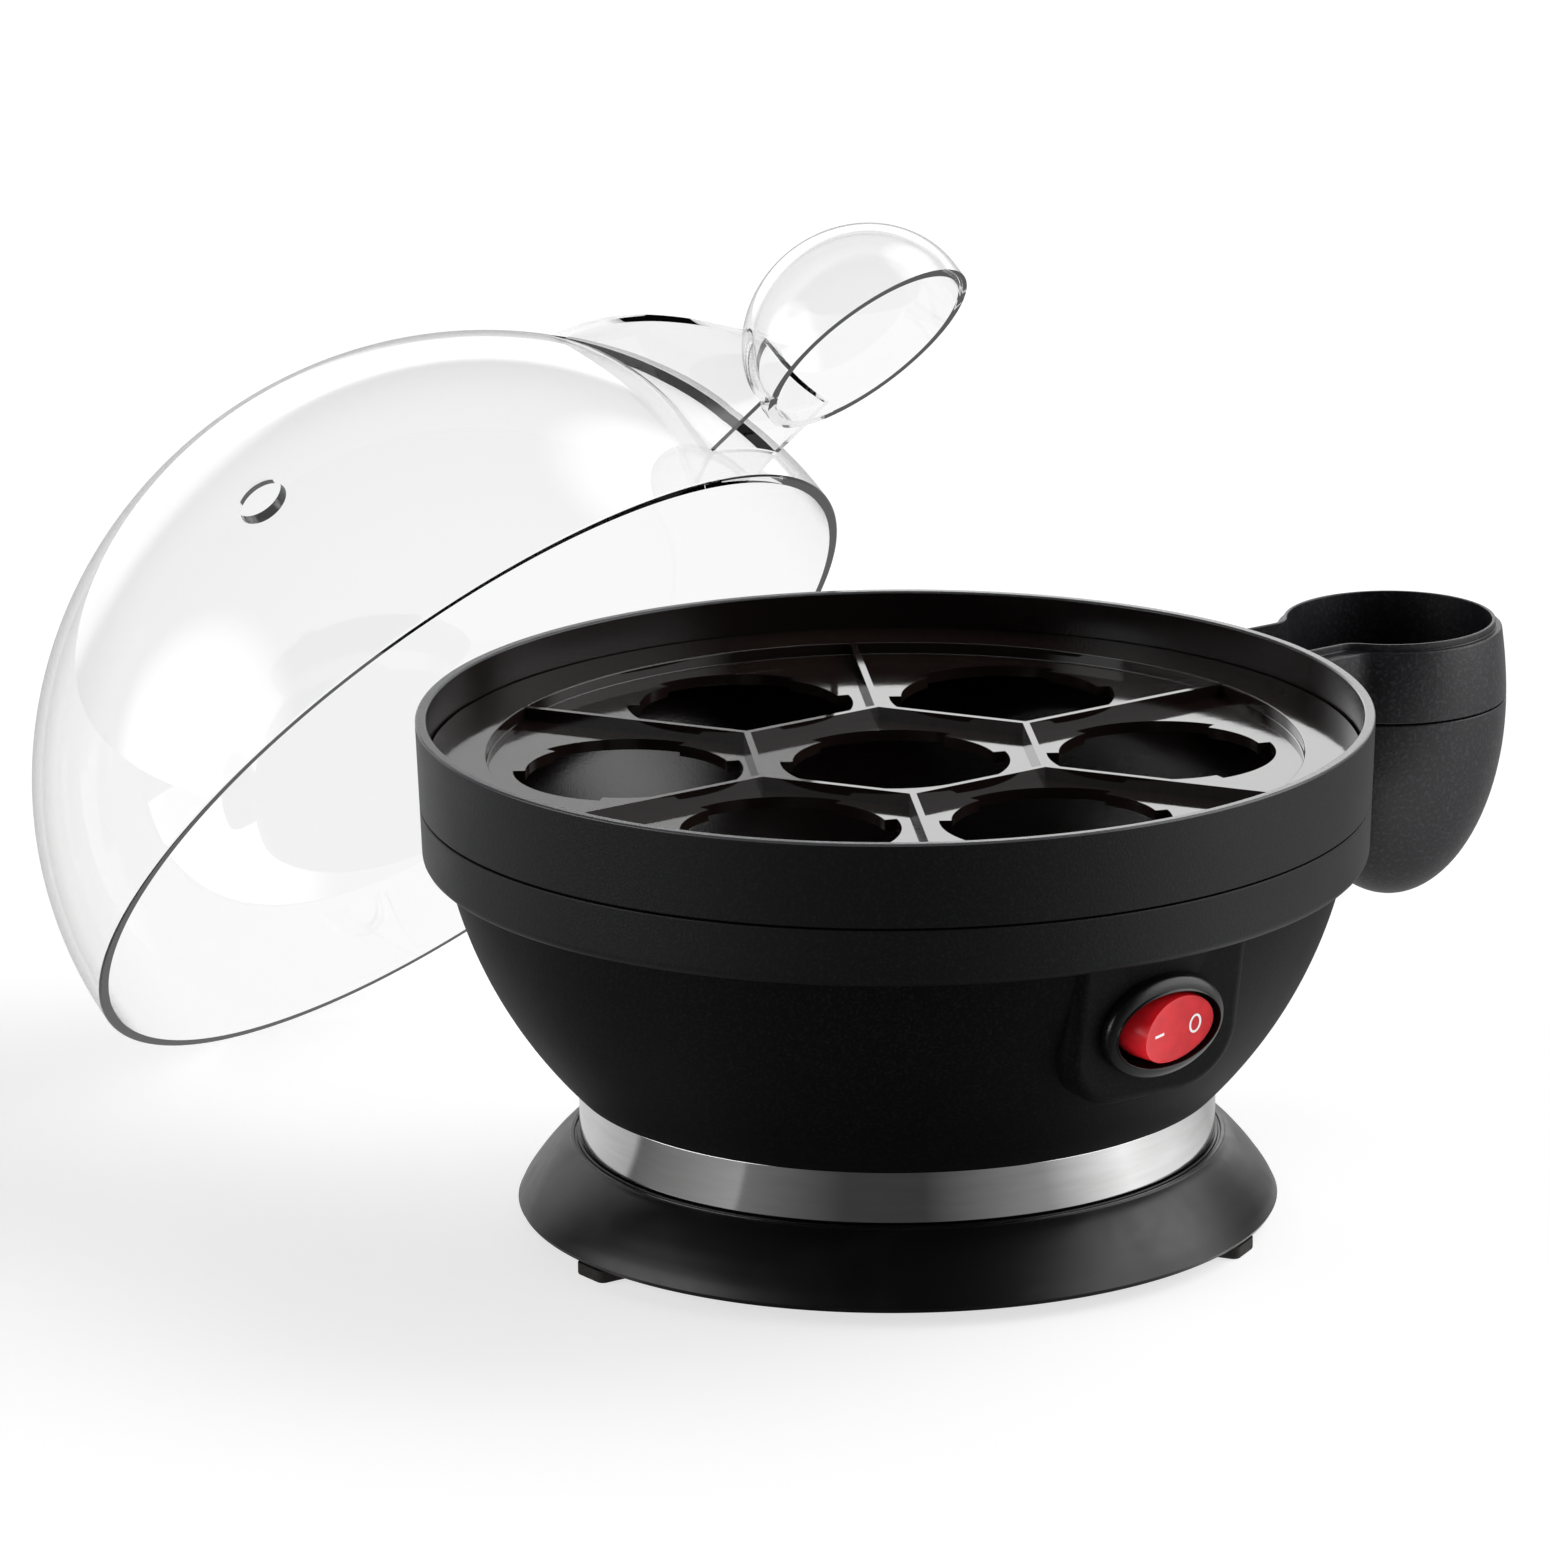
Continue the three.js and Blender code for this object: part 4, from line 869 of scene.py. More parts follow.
def edge_steps(size, count=4):
    """Inward and upward steps of a quarter circle of the given size."""
    a = np.linspace(0, math.pi / 2, count + 1)
    return [(size * (1 - math.cos(t)), size * math.sin(t)) for t in a]


def cup_draw(z):
    """How far the cup is drawn in above its seam: the square of the share of the way up to the ledge."""
    return CUP_TAPER * ((z - seam_high) / (CUP_LEDGE_Z - seam_high)) ** 2


def cup_upper():
    """Loops from the seam up the outside, over ledge and lip with quarter-circle edges, and down inside."""
    loops = [cup_outline(NECK_HALF - inward, CUP_R - inward, NECK_START, seam_high + SEAM_EDGE - up)
             for inward, up in edge_steps(SEAM_EDGE)[::-1]]
    loops += [cup_outline(NECK_HALF, CUP_R - cup_draw(z), NECK_START, z)
              for z in np.linspace(seam_high + SEAM_EDGE, CUP_LEDGE_Z - LEDGE_EDGE, 9)[1:-1]]
    for inward, up in edge_steps(LEDGE_EDGE):
        z = CUP_LEDGE_Z - LEDGE_EDGE + up
        loops.append(cup_outline(NECK_HALF - inward, CUP_R - cup_draw(z) - inward, NECK_START, z))
    lip_half, lip_r = NECK_WELL_HALF + CUP_LIP_T, CUP_WELL_R + CUP_LIP_T
    loops.append(cup_outline(lip_half + 0.12, lip_r + 0.12, NECK_START, CUP_LEDGE_Z))
    loops.append(cup_outline(lip_half, lip_r, NECK_START, CUP_LEDGE_Z + 0.12))
    lip = CUP_LIP_Z - LIP_EDGE
    loops += [cup_outline(lip_half - inward, lip_r - inward, NECK_START + inward, lip + up)
              for inward, up in edge_steps(LIP_EDGE)]
    loops += [cup_outline(NECK_WELL_HALF + inward, CUP_WELL_R + inward, NECK_WELL_START - inward, lip + up)
              for inward, up in edge_steps(LIP_EDGE)[::-1]]
    loops.append(cup_outline(NECK_WELL_HALF, CUP_WELL_R, NECK_WELL_START, seam_high))
    return lofted("cup_upper", loops, close=True)


def cup_lower():
    """Loops up the bulb, up the neck's round lower edge, to the seam, and down the inside to its floor."""
    floor_z = RING_BOTTOM + 2.0
    wall = CUP_R - CUP_WELL_R
    neck = cup_outline(NECK_HALF, bulb_radius(CUP_R, CUP_HEIGHT, RING_BOTTOM), NECK_START, RING_BOTTOM)
    loops = bulb(CUP_R, CUP_HEIGHT, RING_BOTTOM, 26, neck)
    for _, up in edge_steps(NECK_EDGE, 6):
        z = RING_BOTTOM + up
        half = NECK_HALF - NECK_EDGE + math.sqrt(max(0.0, NECK_EDGE ** 2 - (NECK_EDGE - up) ** 2))
        loops.append(cup_outline(half, bulb_radius(CUP_R, CUP_HEIGHT, z), NECK_START, z))
    for z in np.linspace(RING_BOTTOM + NECK_EDGE, seam_low - SEAM_EDGE, 6)[1:]:
        loops.append(cup_outline(NECK_HALF, bulb_radius(CUP_R, CUP_HEIGHT, z), NECK_START, z))
    for inward, up in edge_steps(SEAM_EDGE)[1:]:
        loops.append(cup_outline(NECK_HALF - inward, CUP_R - inward, NECK_START, seam_low - SEAM_EDGE + up))
    well = [cup_outline(NECK_WELL_HALF, bulb_radius(CUP_WELL_R, CUP_HEIGHT - wall, z), NECK_WELL_START, z)
            for z in np.linspace(seam_low, floor_z, 5)]
    inside = bulb(CUP_WELL_R, CUP_HEIGHT - wall, floor_z, 22, well[-1])[::-1]
    return lofted("cup_lower", loops + well + inside)


# Both cup halves take the cup's plastic, whose lighter colour and flecks are painted light.
placed(cup_upper(), cup_grain_and_painted_light, "base", "black_shell", "upper_housing")
placed(cup_lower(), cup_grain_and_painted_light, "base", "black_shell", "lower_housing")

# %% [markdown]
# The lower housing carries the band's lower half, steps in to the bowl and ends in the collar that the
# steel band sits on. The bowl is part of a sphere, so its outline is an arc about a centre up inside the ring.

# %% Bowl
BOWL_WALL = 2.0
BAND_T = 0.6
band_r = band_high[1]
bowl_in = BOWL_R - BOWL_WALL
COLLAR_R = band_r - BAND_T - FIT


def bowl_arc(radius, low, high, steps):
    """The sphere's outline between two heights."""
    start, end = (math.degrees(math.asin((z - BOWL_CENTRE_Z) / radius)) for z in (low, high))
    return arc(0, BOWL_CENTRE_Z, radius, radius, start, end, steps)


shelf = BOWL_BOTTOM + BOWL_WALL
bowl = turned("bowl", [
    (ring_radius(seam_low), seam_low, 0.3), (RING_FOOT_R, RING_BOTTOM, 2.5),
    (math.sqrt(BOWL_R ** 2 - (BOWL_CENTRE_Z - RING_BOTTOM) ** 2) + 0.3, RING_BOTTOM, 0.3),
    *bowl_arc(BOWL_R, RING_BOTTOM - 0.6, BOWL_BOTTOM + 0.6, 48),
    (math.sqrt(BOWL_R ** 2 - (BOWL_CENTRE_Z - BOWL_BOTTOM) ** 2), BOWL_BOTTOM, 0.35),
    (COLLAR_R, BOWL_BOTTOM, 0.2), (COLLAR_R, 5.0, 0.3), (COLLAR_R - 2, 5.0, 0.3), (COLLAR_R - 2, shelf, 0.5),
    *bowl_arc(bowl_in, shelf, RING_BOTTOM + 2, 24),
    (RING_FOOT_R - 2, RING_BOTTOM + 2, 0.5), (ring_in - FIT - 1.5, seam_low - SPIGOT_H, 0.2),
    (ring_in - FIT - 1.5, seam_low + SPIGOT_H, 0.3), (ring_in - FIT, seam_low + SPIGOT_H, 0.3),
    (ring_in - FIT, seam_low, 0.1),
], degrees=30)
print("bowl outline carried round:", len(bowl.data.polygons), "faces")

# %% [markdown]
# The pad under the ring carries the switch. In its own frame x runs to the right, y up along the pad and z
# out of its face; its outline grows by a quarter circle from the face to the side, which makes the soft edge.

# %% Switch pad
SWITCH_OUT = 77.0
SWITCH_Z = 50.9
SWITCH_TILT = 10.0
on_pad = shift(0, -SWITCH_OUT, SWITCH_Z) @ turn("X", 90 + SWITCH_TILT)
PAD_HALF, PAD_DOWN, PAD_UP, PAD_ROUND, PAD_SOFT, PAD_DEEP = 18.4, 14.9, 14.4, 11.4, 2.4, 9.0


def pad_outline(grow, z):
    """The pad's outline, grown by a distance: square at the top, round at the two lower corners."""
    half, low, high = PAD_HALF + grow, -PAD_DOWN - grow, PAD_UP
    bend = PAD_ROUND + grow
    return at_height(rounded([(half, high, 0), (-half, high, 0), (-half, low, bend), (half, low, bend)], 24), z)


def pad_piece():
    """From the middle of the face out to its edge, over the soft edge, and back to a point inside the bowl."""
    face = pad_outline(-PAD_SOFT, 0.0)
    loops = [face * 0, face]
    for t in np.linspace(0, math.pi / 2, 9)[1:]:
        loops.append(pad_outline(-PAD_SOFT * (1 - math.sin(t)), -PAD_SOFT * (1 - math.cos(t))))
    back = pad_outline(0.0, -PAD_DEEP)
    loops += [back, back * [0, 0, 1]]
    return moved(lofted("pad", loops), on_pad)


def oval(width, height, z, count=96):
    """A loop of points on an ellipse at a height."""
    a = np.arange(count) * TAU / count
    return np.stack([width / 2 * np.cos(a), height / 2 * np.sin(a), np.full(count, z)], -1)


def oval_plug(width, height, low, high):
    """A plain oval bar, used to cut a hole."""
    loops = [oval(0, 0, low), oval(width, height, low), oval(width, height, high), oval(0, 0, high)]
    return lofted("plug", loops)


def inside_bowl():
    """The hollow of the bowl, to keep the pad and the inlet's boss out of it."""
    side = bowl_arc(bowl_in, shelf, RING_BOTTOM + BOWL_WALL, 24)
    return turned("hollow", [(0, shelf, 0), *side, (side[-1][0], SEAM_Z, 0), (0, SEAM_Z, 0)], steps=96)


# %% [markdown]
# The bowl is finished by joining on the pad and the inlet's boss, each first cut back from the hollow inside,
# and by cutting the two holes. Below the step the bowl is painted darker and with less sheen than the band above it:
# painted shade.


# %% Bowl with its pad and inlet
def round_bar(name, corners, matrix, steps=64):
    """A turned piece moved to its own axis."""
    return moved(turned(name, corners, steps), matrix)


INLET_Z, INLET_OUT, INLET_HOLE_R = 30.0, 70.5, 5.0
at_inlet = shift(0, INLET_OUT, INLET_Z) @ turn("X", -90)
BODY_W, BODY_H = 23.6, 16.8
pad = combined(pad_piece(), inside_bowl(), "DIFFERENCE")
boss = combined(round_bar("boss", [(0, -10, 0), (7, -10, 0), (7, 0, 0.6), (0, 0, 0)], at_inlet),
                inside_bowl(), "DIFFERENCE")
switch_hole = moved(oval_plug(BODY_W + 2 * FIT, BODY_H + 2 * FIT, -30, 10), on_pad)
inlet_hole = round_bar("drill", [(0, -15, 0), (INLET_HOLE_R, -15, 0), (INLET_HOLE_R, 15, 0), (0, 15, 0)], at_inlet)
bowl = combined(combined(bowl, boss, "UNION"), pad, "UNION")
bowl = combined(combined(bowl, switch_hole, "DIFFERENCE"), inlet_hole, "DIFFERENCE", degrees=32)
placed(bowl, black_shell, "base", "black_shell", "lower_housing")
# Faces below the step take the bowl's second material: the shell's plastic painted darker and with less sheen, as
# painted shade.
bowl.data.materials.append(bowl_painted_shade)
middles = np.empty(len(bowl.data.polygons) * 3)
bowl.data.polygons.foreach_get("center", middles)
bowl.data.polygons.foreach_set("material_index", (middles[2::3] < (RING_BOTTOM - 0.1) * MM).astype(np.int32))

# %% [markdown]
# The steel band is a strip rolled into a ring. The skirt below it starts with two thin beads and spreads
# over a round shoulder to a soft rim.

# %% Band and skirt
placed(turned("trim_band_fine", [
    (band_r - BAND_T, band_low[2], 0.1), (band_r, band_low[2], 0.2), (band_r, band_high[2], 0.2),
    (band_r - BAND_T, band_high[2], 0.1)], steps=320), brushed_band, "base", "brushed_band", "trim_band")

SKIRT_R = skirt_high[1]
SKIRT_TOP = skirt_high[2]
BEAD_R = 58.4
sleeve = SKIRT_TOP - 4.6
cover_hole = cover_high[0] + FIT


def skirt_curve(steps=61):
    """The round shoulder: the fall against the reach, slack at the top and steep at the hem."""
    reach = np.linspace(0, 1, steps)
    fall = np.interp(reach, [0.0, 0.16, 0.36, 0.6, 0.86, 0.96, 1.0], [0.02, 0.09, 0.24, 0.45, 0.72, 0.85, 0.93])
    wide = np.pad(fall, 5, mode="reflect", reflect_type="odd")
    fall = np.convolve(wide, np.ones(11) / 11, mode="valid")
    return [(BEAD_R + (SKIRT_R - BEAD_R) * a, SKIRT_TOP * (1 - f), 0) for a, f in zip(reach, fall)]


placed(turned("skirt", [
    (band_r - BAND_T, SKIRT_TOP, 0.2), (band_r + 0.45, SKIRT_TOP, 0.22), (band_r + 0.5, SKIRT_TOP - 0.5, 0.1),
    (band_r + 0.9, SKIRT_TOP - 0.5, 0.1), (band_r + 0.95, SKIRT_TOP - 0.1, 0.25), (BEAD_R, SKIRT_TOP - 0.1, 0.3),
    *skirt_curve()[1:], (SKIRT_R, 0.9, 0.8), (SKIRT_R - 0.5, 0, 0.4), (cover_hole, 0, 0.2), (cover_hole, 2.3, 0.1),
    (cover_hole - 2, 2.3, 0.3), (BEAD_R, sleeve, 0.5), (band_r - BAND_T, sleeve, 0.3),
]), black_satin, "base", "black_satin", "base_skirt")

# %% [markdown]
# A foot is a short rubber block with round corners, set under the skirt's rim.

# %% Feet
FOOT_ANGLES = (180, -60, 60)
FOOT_IN, FOOT_OUT, FOOT_HALF, FOOT_BEND = 59.5, 67.4, 4.0, 1.2


def foot_block(name, angle):
    """A block between two radii: at each height its outline has grown by a size, and at the sole and the top
    it closes in a point."""
    low, high = foot_low[2], -FIT
    loops = []
    for size, z in ((-0.4, low), (-0.12, low + 0.12), (0, low + 0.4), (0, high)):
        near, far, half, bend = FOOT_IN - size, FOOT_OUT + size, FOOT_HALF + size, FOOT_BEND + size * 0.5
        loops.append(at_height(rounded([(near, -half, bend), (far, -half, bend), (far, half, bend),
                                        (near, half, bend)], 6), z))
    middle = np.full((len(loops[0]), 2), [(FOOT_IN + FOOT_OUT) / 2, 0.0])
    return moved(lofted(name, [at_height(middle, low), *loops, at_height(middle, high)]), turn("Z", angle))


for k, angle in enumerate(FOOT_ANGLES):
    placed(foot_block(f"foot_pad_{k + 1}", angle), rubber, "base", "rubber", f"foot_{k + 1}")

# %% [markdown]
# The bottom cover is a disc with three holes, held by three pan-head screws.

# %% Cover and its screws
BOSS_R, BOSS_ANGLES, SCREW_HOLE_R = 50.5, (150, 30, -90), 1.7
HEAD_R, HEAD_H, SHANK_R = 3.2, 1.2, 1.4
cover = turned("cover", [(0, 0, 0), (cover_high[0], 0, 0.5), (cover_high[0], cover_high[2], 0.3),
                         (0, cover_high[2], 0)])
for angle in BOSS_ANGLES:
    drill = turned("drill", [(0, -1, 0), (SCREW_HOLE_R, -1, 0), (SCREW_HOLE_R, 4, 0), (0, 4, 0)], 32,
                   centre=around(BOSS_R, angle))
    cover = combined(cover, drill, "DIFFERENCE")
placed(cover, black_satin, "base", "black_satin", "bottom_cover")


def screw_piece(name, spot):
    """A pan head with a cross recess, on a plain shank."""
    low, high = (corner[2] for corner in corners_mm("cover_screw_1"))
    screw = turned(name, [(0, low, 0), (HEAD_R, low, 0.6), (HEAD_R, low + HEAD_H, 0.1),
                          (SHANK_R, low + HEAD_H, 0.1), (SHANK_R, high, 0.5), (0, high, 0)], 48, centre=spot)
    for degrees in (20, 110):
        slot = moved(lofted("slot", [oval(0, 0, -1), oval(3.4, 0.8, -1), oval(3.0, 0.6, 0.7), oval(0, 0, 0.7)]),
                     shift(*spot, low) @ turn("Z", degrees))
        screw = combined(screw, slot, "DIFFERENCE")
    return screw


for k, angle in enumerate(BOSS_ANGLES):
    placed(screw_piece(f"screw_{k + 1}", around(BOSS_R, angle)), steel_plain, "base", "steel_hidden",
           f"cover_screw_{k + 1}")

# %% [markdown]
# The egg rack is a shallow tray. Its seats are cut right through: each is three wide arcs and three narrow
# ones, so that an egg stands on three short shelves. Thin ribs part the seats.

# %% Egg rack
RACK_T = 2.0
RECESS_R = 72.5
RECESS_DEPTH = 2.2
RIB_T = 1.2
HEX = 25.0
SEAT_PITCH = 47.5
SEAT_WIDE, SEAT_NARROW = 20.4, 18.2
SEAT_WIDE_ARC, SEAT_FIRST = 76.0, 25.0
rack_r = rack_high[1]
floor_top = SHELF_Z - RECESS_DEPTH
floor_low = floor_top - RACK_T


def seat_outline(z, count=22):
    """Three wide arcs with narrow ones between them, joined by short radial steps."""
    parts = []
    for k in range(3):
        start = SEAT_FIRST + 120 * k
        for radius, low, high in ((SEAT_WIDE, start, start + SEAT_WIDE_ARC),
                                  (SEAT_NARROW, start + SEAT_WIDE_ARC, start + 120)):
            a = np.radians(np.linspace(low, high, count))
            parts.append(at_height(np.stack([radius * np.cos(a), radius * np.sin(a)], -1), z))
    return np.concatenate(parts)


def seat_cutter(x, y):
    """The seat's outline carried straight up through the tray."""
    low, high = seat_outline(floor_low - 1), seat_outline(SHELF_Z + 1)
    loops = [low * [0, 0, 1], low, high, high * [0, 0, 1]]
    return moved(lofted("seat", loops), shift(x, y, 0))


def rib(x0, x1, half, degrees):
    """A thin upright wall from x0 to x1, turned about the rack's axis."""
    ring = np.array([[x0, -half], [x1, -half], [x1, half], [x0, half]], float)
    middle = np.tile(ring.mean(0), (4, 1))
    low = floor_top - 0.5
    loops = [at_height(middle, low), at_height(ring, low), at_height(ring, SHELF_Z), at_height(middle, SHELF_Z)]
    return moved(lofted("rib", loops), turn("Z", degrees))


rack = turned("rack", [
    (0, floor_low, 0), (RECESS_R + RACK_T, floor_low, 0.4), (RECESS_R + RACK_T, SHELF_Z - RACK_T, 0.3),
    (rack_r, SHELF_Z - RACK_T, 0.3), (rack_r, SHELF_Z, 0.3), (RECESS_R, SHELF_Z, 0.25),
    (RECESS_R, floor_top, 0.25), (0, floor_top, 0)], steps=240)
hex_corner = HEX / math.cos(math.radians(30))
for k in range(6):
    rack = combined(rack, rib(hex_corner - 0.2, RECESS_R + RACK_T / 2, RIB_T / 2, 60 * k), "UNION")
    side = moved(rib(-hex_corner / 2 - 0.3, hex_corner / 2 + 0.3, RIB_T / 2, 0), turn("Z", 60 * k + 120)
                 @ shift(0, HEX, 0))
    rack = combined(rack, side, "UNION")
for spot in [(0, 0)] + [around(SEAT_PITCH, 60 * k + 30) for k in range(6)]:
    rack = combined(rack, seat_cutter(*spot), "DIFFERENCE")
rack = softened(rack, 0.22, 2, 40)
placed(rack, rack_brown, "rack", "rack_brown", "egg_rack")

# %% [markdown]
# The lid is three clear shells in one: a dome, a folded ridge and a small cover for the cup. Each is made
# solid, inside and outside, in the lid's own frame, where the rim lies flat; the insides are cut from the
# outsides, and only then is the lid leaned into place.

# %% Lid shapes
LID_R, LID_H, LID_WALL = ring_in - 1.15, 78.8, 1.9
TAIL_R, TAIL_H, TAIL_SKIRT = 21.85, 19.8, 2.8
RIDGE_HALF, RIDGE_BULGE = 13.0, 1.3
ridge_base = RING_TOP - SHELF_Z + FIT
tail_rim = CUP_LEDGE_Z - SHELF_Z
CREST = np.array([(60, 51.5), (64, 49.6), (70, 47.2), (75.5, 44), (81.5, 39.2), (87, 33.6), (92, 27.5),
                  (96.5, 21.4), (101, 15.5)])
STEAM_R, STEAM_AT = 5.0, (-11.0, 18.0)


def dome_solid(name, radius, height, low):
    """Half an ellipse carried round: radius at the rim, height at the crown."""
    return turned(name, [(0, low, 0), (radius, low, 0.4 if low == 0 else 0), *arc(0, 0, radius, height, 1, 90, 72)],
                  steps=FINE)


def tail_solid(name, radius, height, low):
    """A short upright skirt with half an ellipse on top, over the cup."""
    shoulder = tail_rim + TAIL_SKIRT
    return turned(name, [(0, low, 0), (radius, low, 0), *arc(0, shoulder, radius, height, 0, 90, 36)],
                  steps=128, centre=(CUP_X, 0))


def ridge_solid(name, half, drop, base):
    """Gable sections along x: across, a section is half * (1 - s^bulge) wide at the share s of its height."""
    x = np.linspace(CREST[0, 0], CREST[-1, 0], 60)
    crest = np.interp(x, CREST[:, 0], CREST[:, 1])
    crest = np.convolve(np.pad(crest, 3, mode="edge"), np.ones(7) / 7, mode="valid") - drop
    crest[:2], crest[-2:] = crest[2], crest[-3]
    s = 1 - (1 - np.linspace(0, 1, 20)) ** 1.6
    y = half * (1 - s ** RIDGE_BULGE)
    y = np.concatenate([y, -y[:-1][::-1]])
    s = np.concatenate([s, s[:-1][::-1]])
    loops = np.stack([np.broadcast_to(x[:, None], (60, len(y))), np.broadcast_to(y, (60, len(y))),
                      base + (crest[:, None] - base) * s], -1)
    first = np.broadcast_to(loops[0].mean(0), (1, len(y), 3))
    last = np.broadcast_to(loops[-1].mean(0), (1, len(y), 3))
    return lofted(name, np.concatenate([first, loops, last]))


def lid_piece():
    """The three outsides joined, less the three insides, less the steam hole."""
    outside = combined(dome_solid("lid_shell", LID_R, LID_H, 0), ridge_solid("r", RIDGE_HALF, 0, ridge_base), "UNION")
    outside = combined(outside, tail_solid("t", TAIL_R, TAIL_H, tail_rim), "UNION")
    inside = combined(dome_solid("inside", LID_R - LID_WALL, LID_H - LID_WALL, -1),
                      ridge_solid("r", RIDGE_HALF - LID_WALL, LID_WALL, ridge_base - 0.05), "UNION")
    inside = combined(inside, tail_solid("t", TAIL_R - LID_WALL, TAIL_H - LID_WALL, tail_rim - 1), "UNION")
    shell = combined(outside, inside, "DIFFERENCE")
    steam = turned("steam", [(0, LID_H / 2, 0), (STEAM_R, LID_H / 2, 0), (STEAM_R, LID_H + 5, 0), (0, LID_H + 5, 0)],
                   64, centre=STEAM_AT)
    return combined(shell, steam, "DIFFERENCE", degrees=25)


print(f"lid {2 * LID_R:.1f} mm across, {LID_H:.1f} high")

# %% [markdown]
# The lid stands on its rim and leans back: it is tipped about its own middle, turned to face the cooker, and
# lifted until the lowest point of its rim is on the floor.

# %% Lid in its place
LID_LEAN, LID_FACING, LID_TURN = 48.6, -77.1, 18.5
LID_AT = (-18.0, 107.8)
lid_place = (shift(*LID_AT, foot_low[2] + LID_R * math.sin(math.radians(LID_LEAN)))
             @ turn("Z", LID_FACING) @ turn("Y", -LID_LEAN) @ turn("Z", LID_TURN))
placed(moved(lid_piece(), lid_place), clear_plastic, "lid", "clear_plastic", "lid")

# %% [markdown]
# The heating plate is a spun steel dish with a flat rim, held below the funnel's foot.

# %% Heating plate
plate_r = plate_high[1]
dish_r = PLATE_HOLE_R - 0.7
rim_low, rim_high = plate_high[2] - 0.8, plate_high[2]
dish_floor = plate_low[2] + 0.8
placed(turned("plate_dish", [
    (0, plate_low[2], 0), (dish_r, plate_low[2], 2.2), (dish_r, rim_low, 0.4), (plate_r, rim_low, 0.2),
    (plate_r, rim_high, 0.3), (dish_r - 0.8, rim_high, 0.8), (dish_r - 0.8, dish_floor, 1.6), (0, dish_floor, 0)]),
    plate_steel, "base", "steel_plate", "heating_plate")

# %% [markdown]
# The switch: an oval bezel with a domed face, and a red button that tips about a pin. The button's top is
# a smaller oval than its base, so that the raised end shows a sloping red side.

# %% Switch
BEZEL_W, BEZEL_H, BEZEL_PROUD = 25.4, 19.4, 3.2
WELL_W, WELL_H = 22.0, 14.2


def bezel_piece():
    """Ovals from the foot of the bezel, over its rounded face and down into the well."""
    loops = []
    for share, z in ((0.0, FIT), (0.01, 1.15), (0.04, 1.6), (0.12, 2.0), (0.26, 2.3), (0.45, 2.55), (0.65, 2.75),
                     (0.82, 2.85), (0.86, 3.0), (0.90, 3.15), (0.94, BEZEL_PROUD)):
        loops.append(oval(BEZEL_W + (WELL_W - BEZEL_W) * share, BEZEL_H + (WELL_H - BEZEL_H) * share, z))
    for t in np.linspace(0, math.pi / 2, 4)[1:]:
        grow = 0.12 * (1 - math.sin(t))
        loops.append(oval(WELL_W + 2 * grow, WELL_H + 2 * grow, BEZEL_PROUD - 0.12 * (1 - math.cos(t))))
    loops.append(oval(WELL_W, WELL_H, FIT))
    return moved(lofted("bezel", loops, close=True), on_pad)


ROCKER_W, ROCKER_H, ROCKER_TOP, ROCKER_BELOW = 19.1, 12.9, 4.2, 6.5
ROCKER_PIVOT, ROCKER_ANGLE = 4.0, 10.5
TOP_W, TOP_H = 17.1, 12.1
tipped = on_pad @ shift(0, 0, -ROCKER_PIVOT) @ turn("Y", ROCKER_ANGLE) @ shift(0, 0, ROCKER_PIVOT)


def top_height(x):
    """The top face is a little hollow: highest at its two ends."""
    return ROCKER_TOP - 0.75 * (1 - (2 * x / TOP_W) ** 2)


def button_piece():
    """Ovals up from the foot, narrowing from the base's size to the top's, then in to the middle of the top."""
    loops = [oval(0, 0, -ROCKER_BELOW), oval(ROCKER_W - 5, ROCKER_H - 0.6, -ROCKER_BELOW),
             oval(ROCKER_W - 0.2, ROCKER_H - 0.1, -1.6), oval(ROCKER_W, ROCKER_H, -1.0)]
    for share in np.linspace(0, 1, 9)[1:]:
        ease = share ** 1.25
        loop = oval(ROCKER_W + (TOP_W - ROCKER_W) * ease, ROCKER_H + (TOP_H - ROCKER_H) * ease, 0)
        top = top_height(loop[:, 0] * TOP_W / (ROCKER_W + (TOP_W - ROCKER_W) * ease))
        loop[:, 2] = -1.0 + (top + 1.0) * share
        loops.append(loop)
    for share in (0.97, 0.85, 0.7, 0.5, 0.3, 0.12, 0.0):
        loop = oval(TOP_W * share, TOP_H * share, 0)
        loop[:, 2] = top_height(loop[:, 0]) - 0.04
        loops.append(loop)
    return moved(lofted("button", loops, degrees=50), tipped)


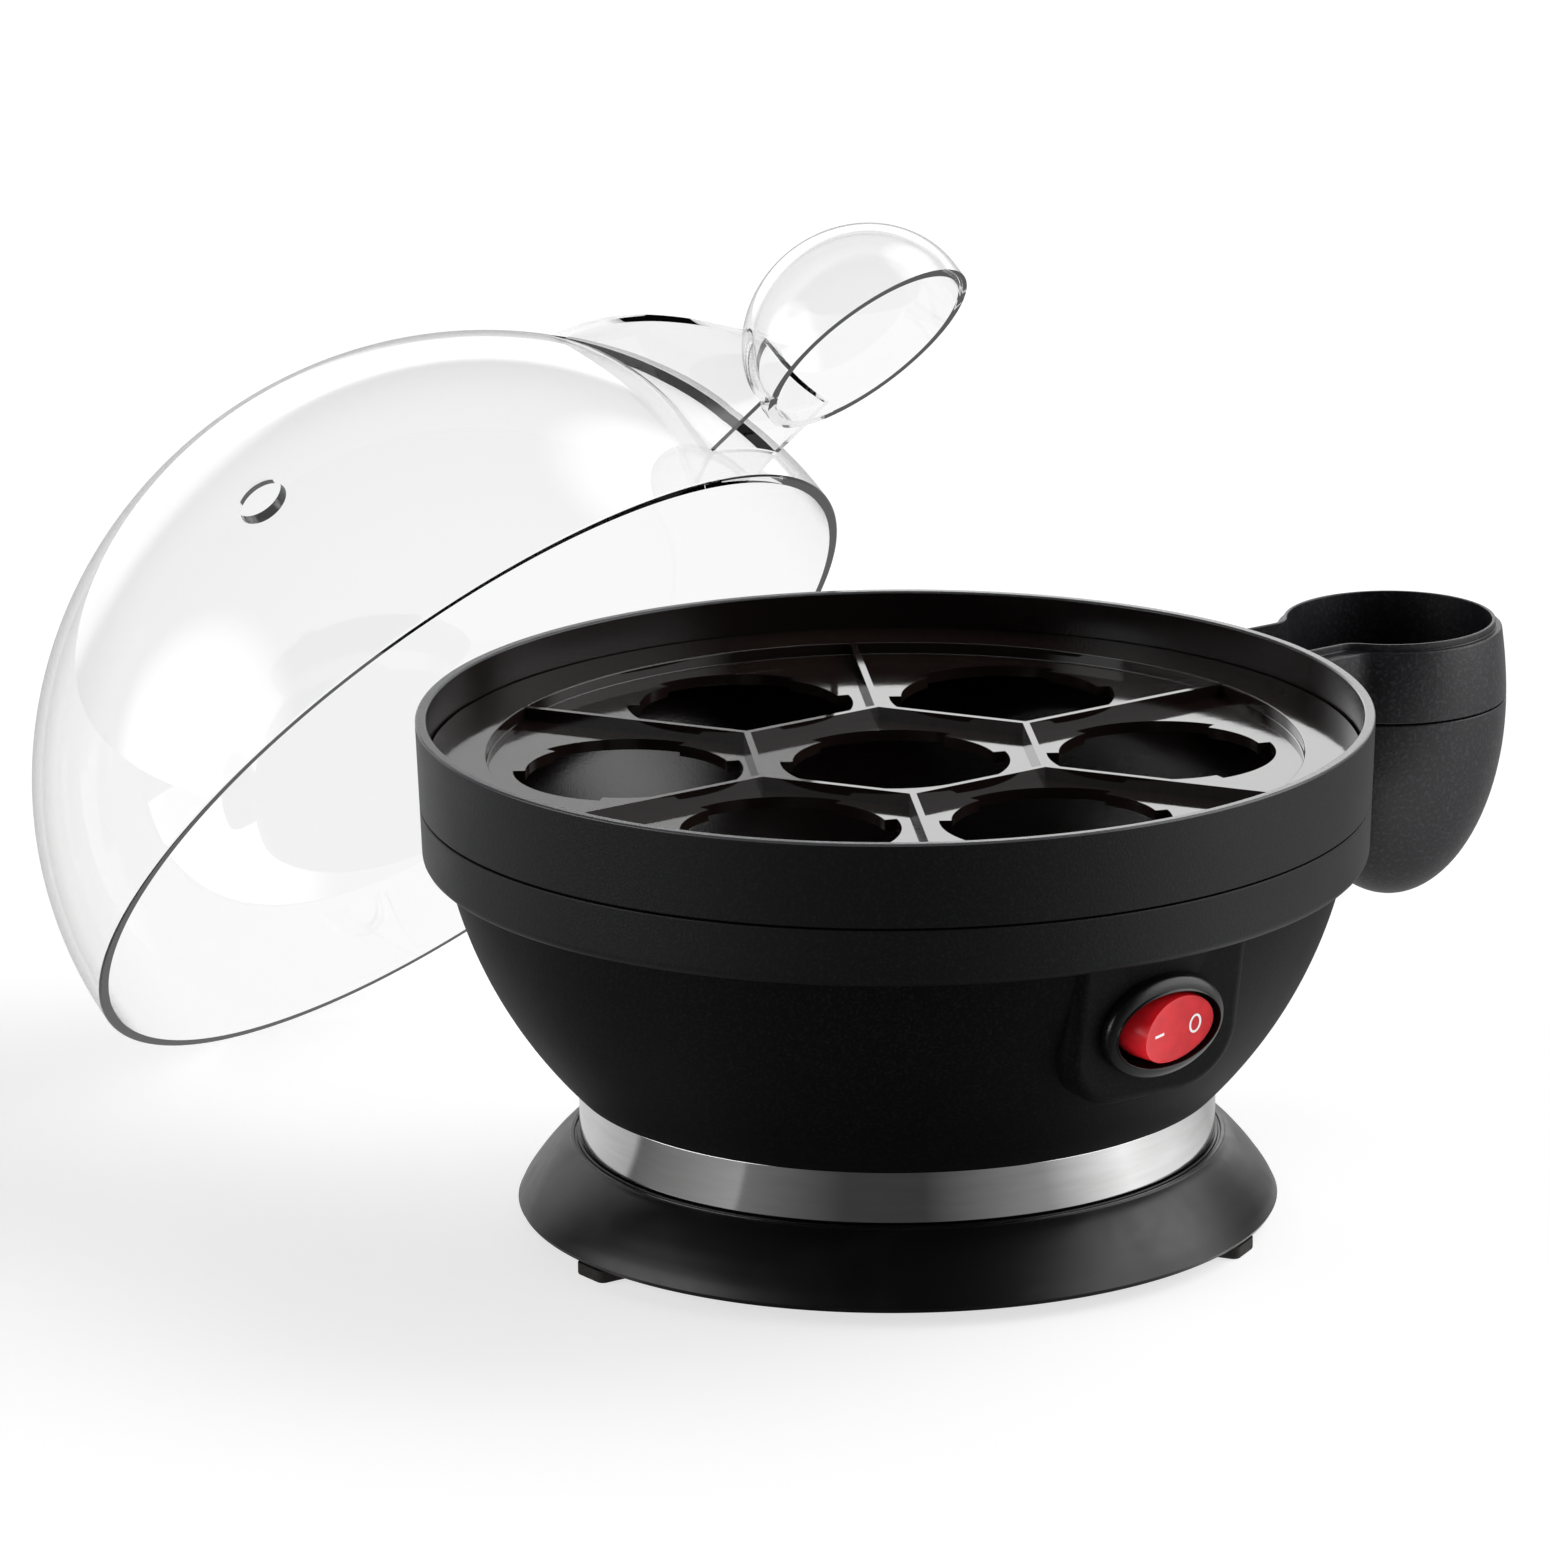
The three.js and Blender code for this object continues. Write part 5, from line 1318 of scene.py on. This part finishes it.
def mark_piece(name, centre_x, width, height, line):
    """A printed ring: an oval line of a given width that lies just on the top face."""
    loops = []
    for grow, lift in ((-line, -0.2), (-line, 0.03), (line, 0.03), (line, -0.2)):
        loop = oval(width + grow, height + grow, 0, 48)
        loop[:, 0] += centre_x
        loop[:, 2] = top_height(loop[:, 0]) + lift
        loops.append(loop)
    return moved(lofted(name, loops, close=True), tipped)


def dash_piece(name, centre_x, width, height):
    """A printed dash: a thin flat bar that lies just on the top face."""
    loops = []
    for size, lift in ((0, -0.2), (1, -0.2), (1, 0.03), (0, 0.03)):
        ring = np.array([[-width, -height], [width, -height], [width, height], [-width, height]]) / 2 * size
        ring[:, 0] += centre_x
        loops.append(np.column_stack([ring, top_height(ring[:, 0]) + lift]))
    return moved(lofted(name, loops), tipped)


placed(bezel_piece(), black_bezel, "base", "black_gloss", "switch_bezel")
placed(button_piece(), red_clear, "rocker", "red_clear", "rocker")
placed(mark_piece("mark_off", 4.5, 2.3, 3.2, 0.42), mark_white, "rocker", "red_clear")
placed(dash_piece("mark_on", -4.6, 2.5, 0.5), mark_white, "rocker", "red_clear")

# %% [markdown]
# The cord comes in at the back through a rubber grommet.

# %% Cord inlet
placed(round_bar("grommet", [(3.5, -10, 0.3), (4.7, -10, 0.3), (4.7, FIT, 0.1), (6.6, FIT, 0.3), (6.6, 2.0, 0.8),
                             (3.5, 2.0, 0.6)], at_inlet), rubber, "base", "rubber", "cord_inlet")

# %% [markdown]
# What the base hides keeps its shape from the frame, and each piece gets its own finish.

# %% Hidden pieces
FINISHES = (
    (silicone, "plate_seal"), (aluminium, "heat_spreader heating_element"),
    (brass, "switch_terminal_1 switch_terminal_2"), (black_satin, "switch_body"),
    (steel_plain, "plate_clamp fuse_clip clamp_screw_1 clamp_screw_2 clamp_screw_3"),
    (ceramic, "thermostat thermal_fuse terminal_block"), (blue_lead, "lead_neutral"),
    (brown_lead, "lead_live lead_switched lead_fused lead_element"),
)
for material, names in FINISHES:
    for name in names.split():
        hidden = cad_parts[name].data
        hidden.materials.clear()
        hidden.materials.append(material)
print("hidden pieces finished:", sum(len(names.split()) for _, names in FINISHES))
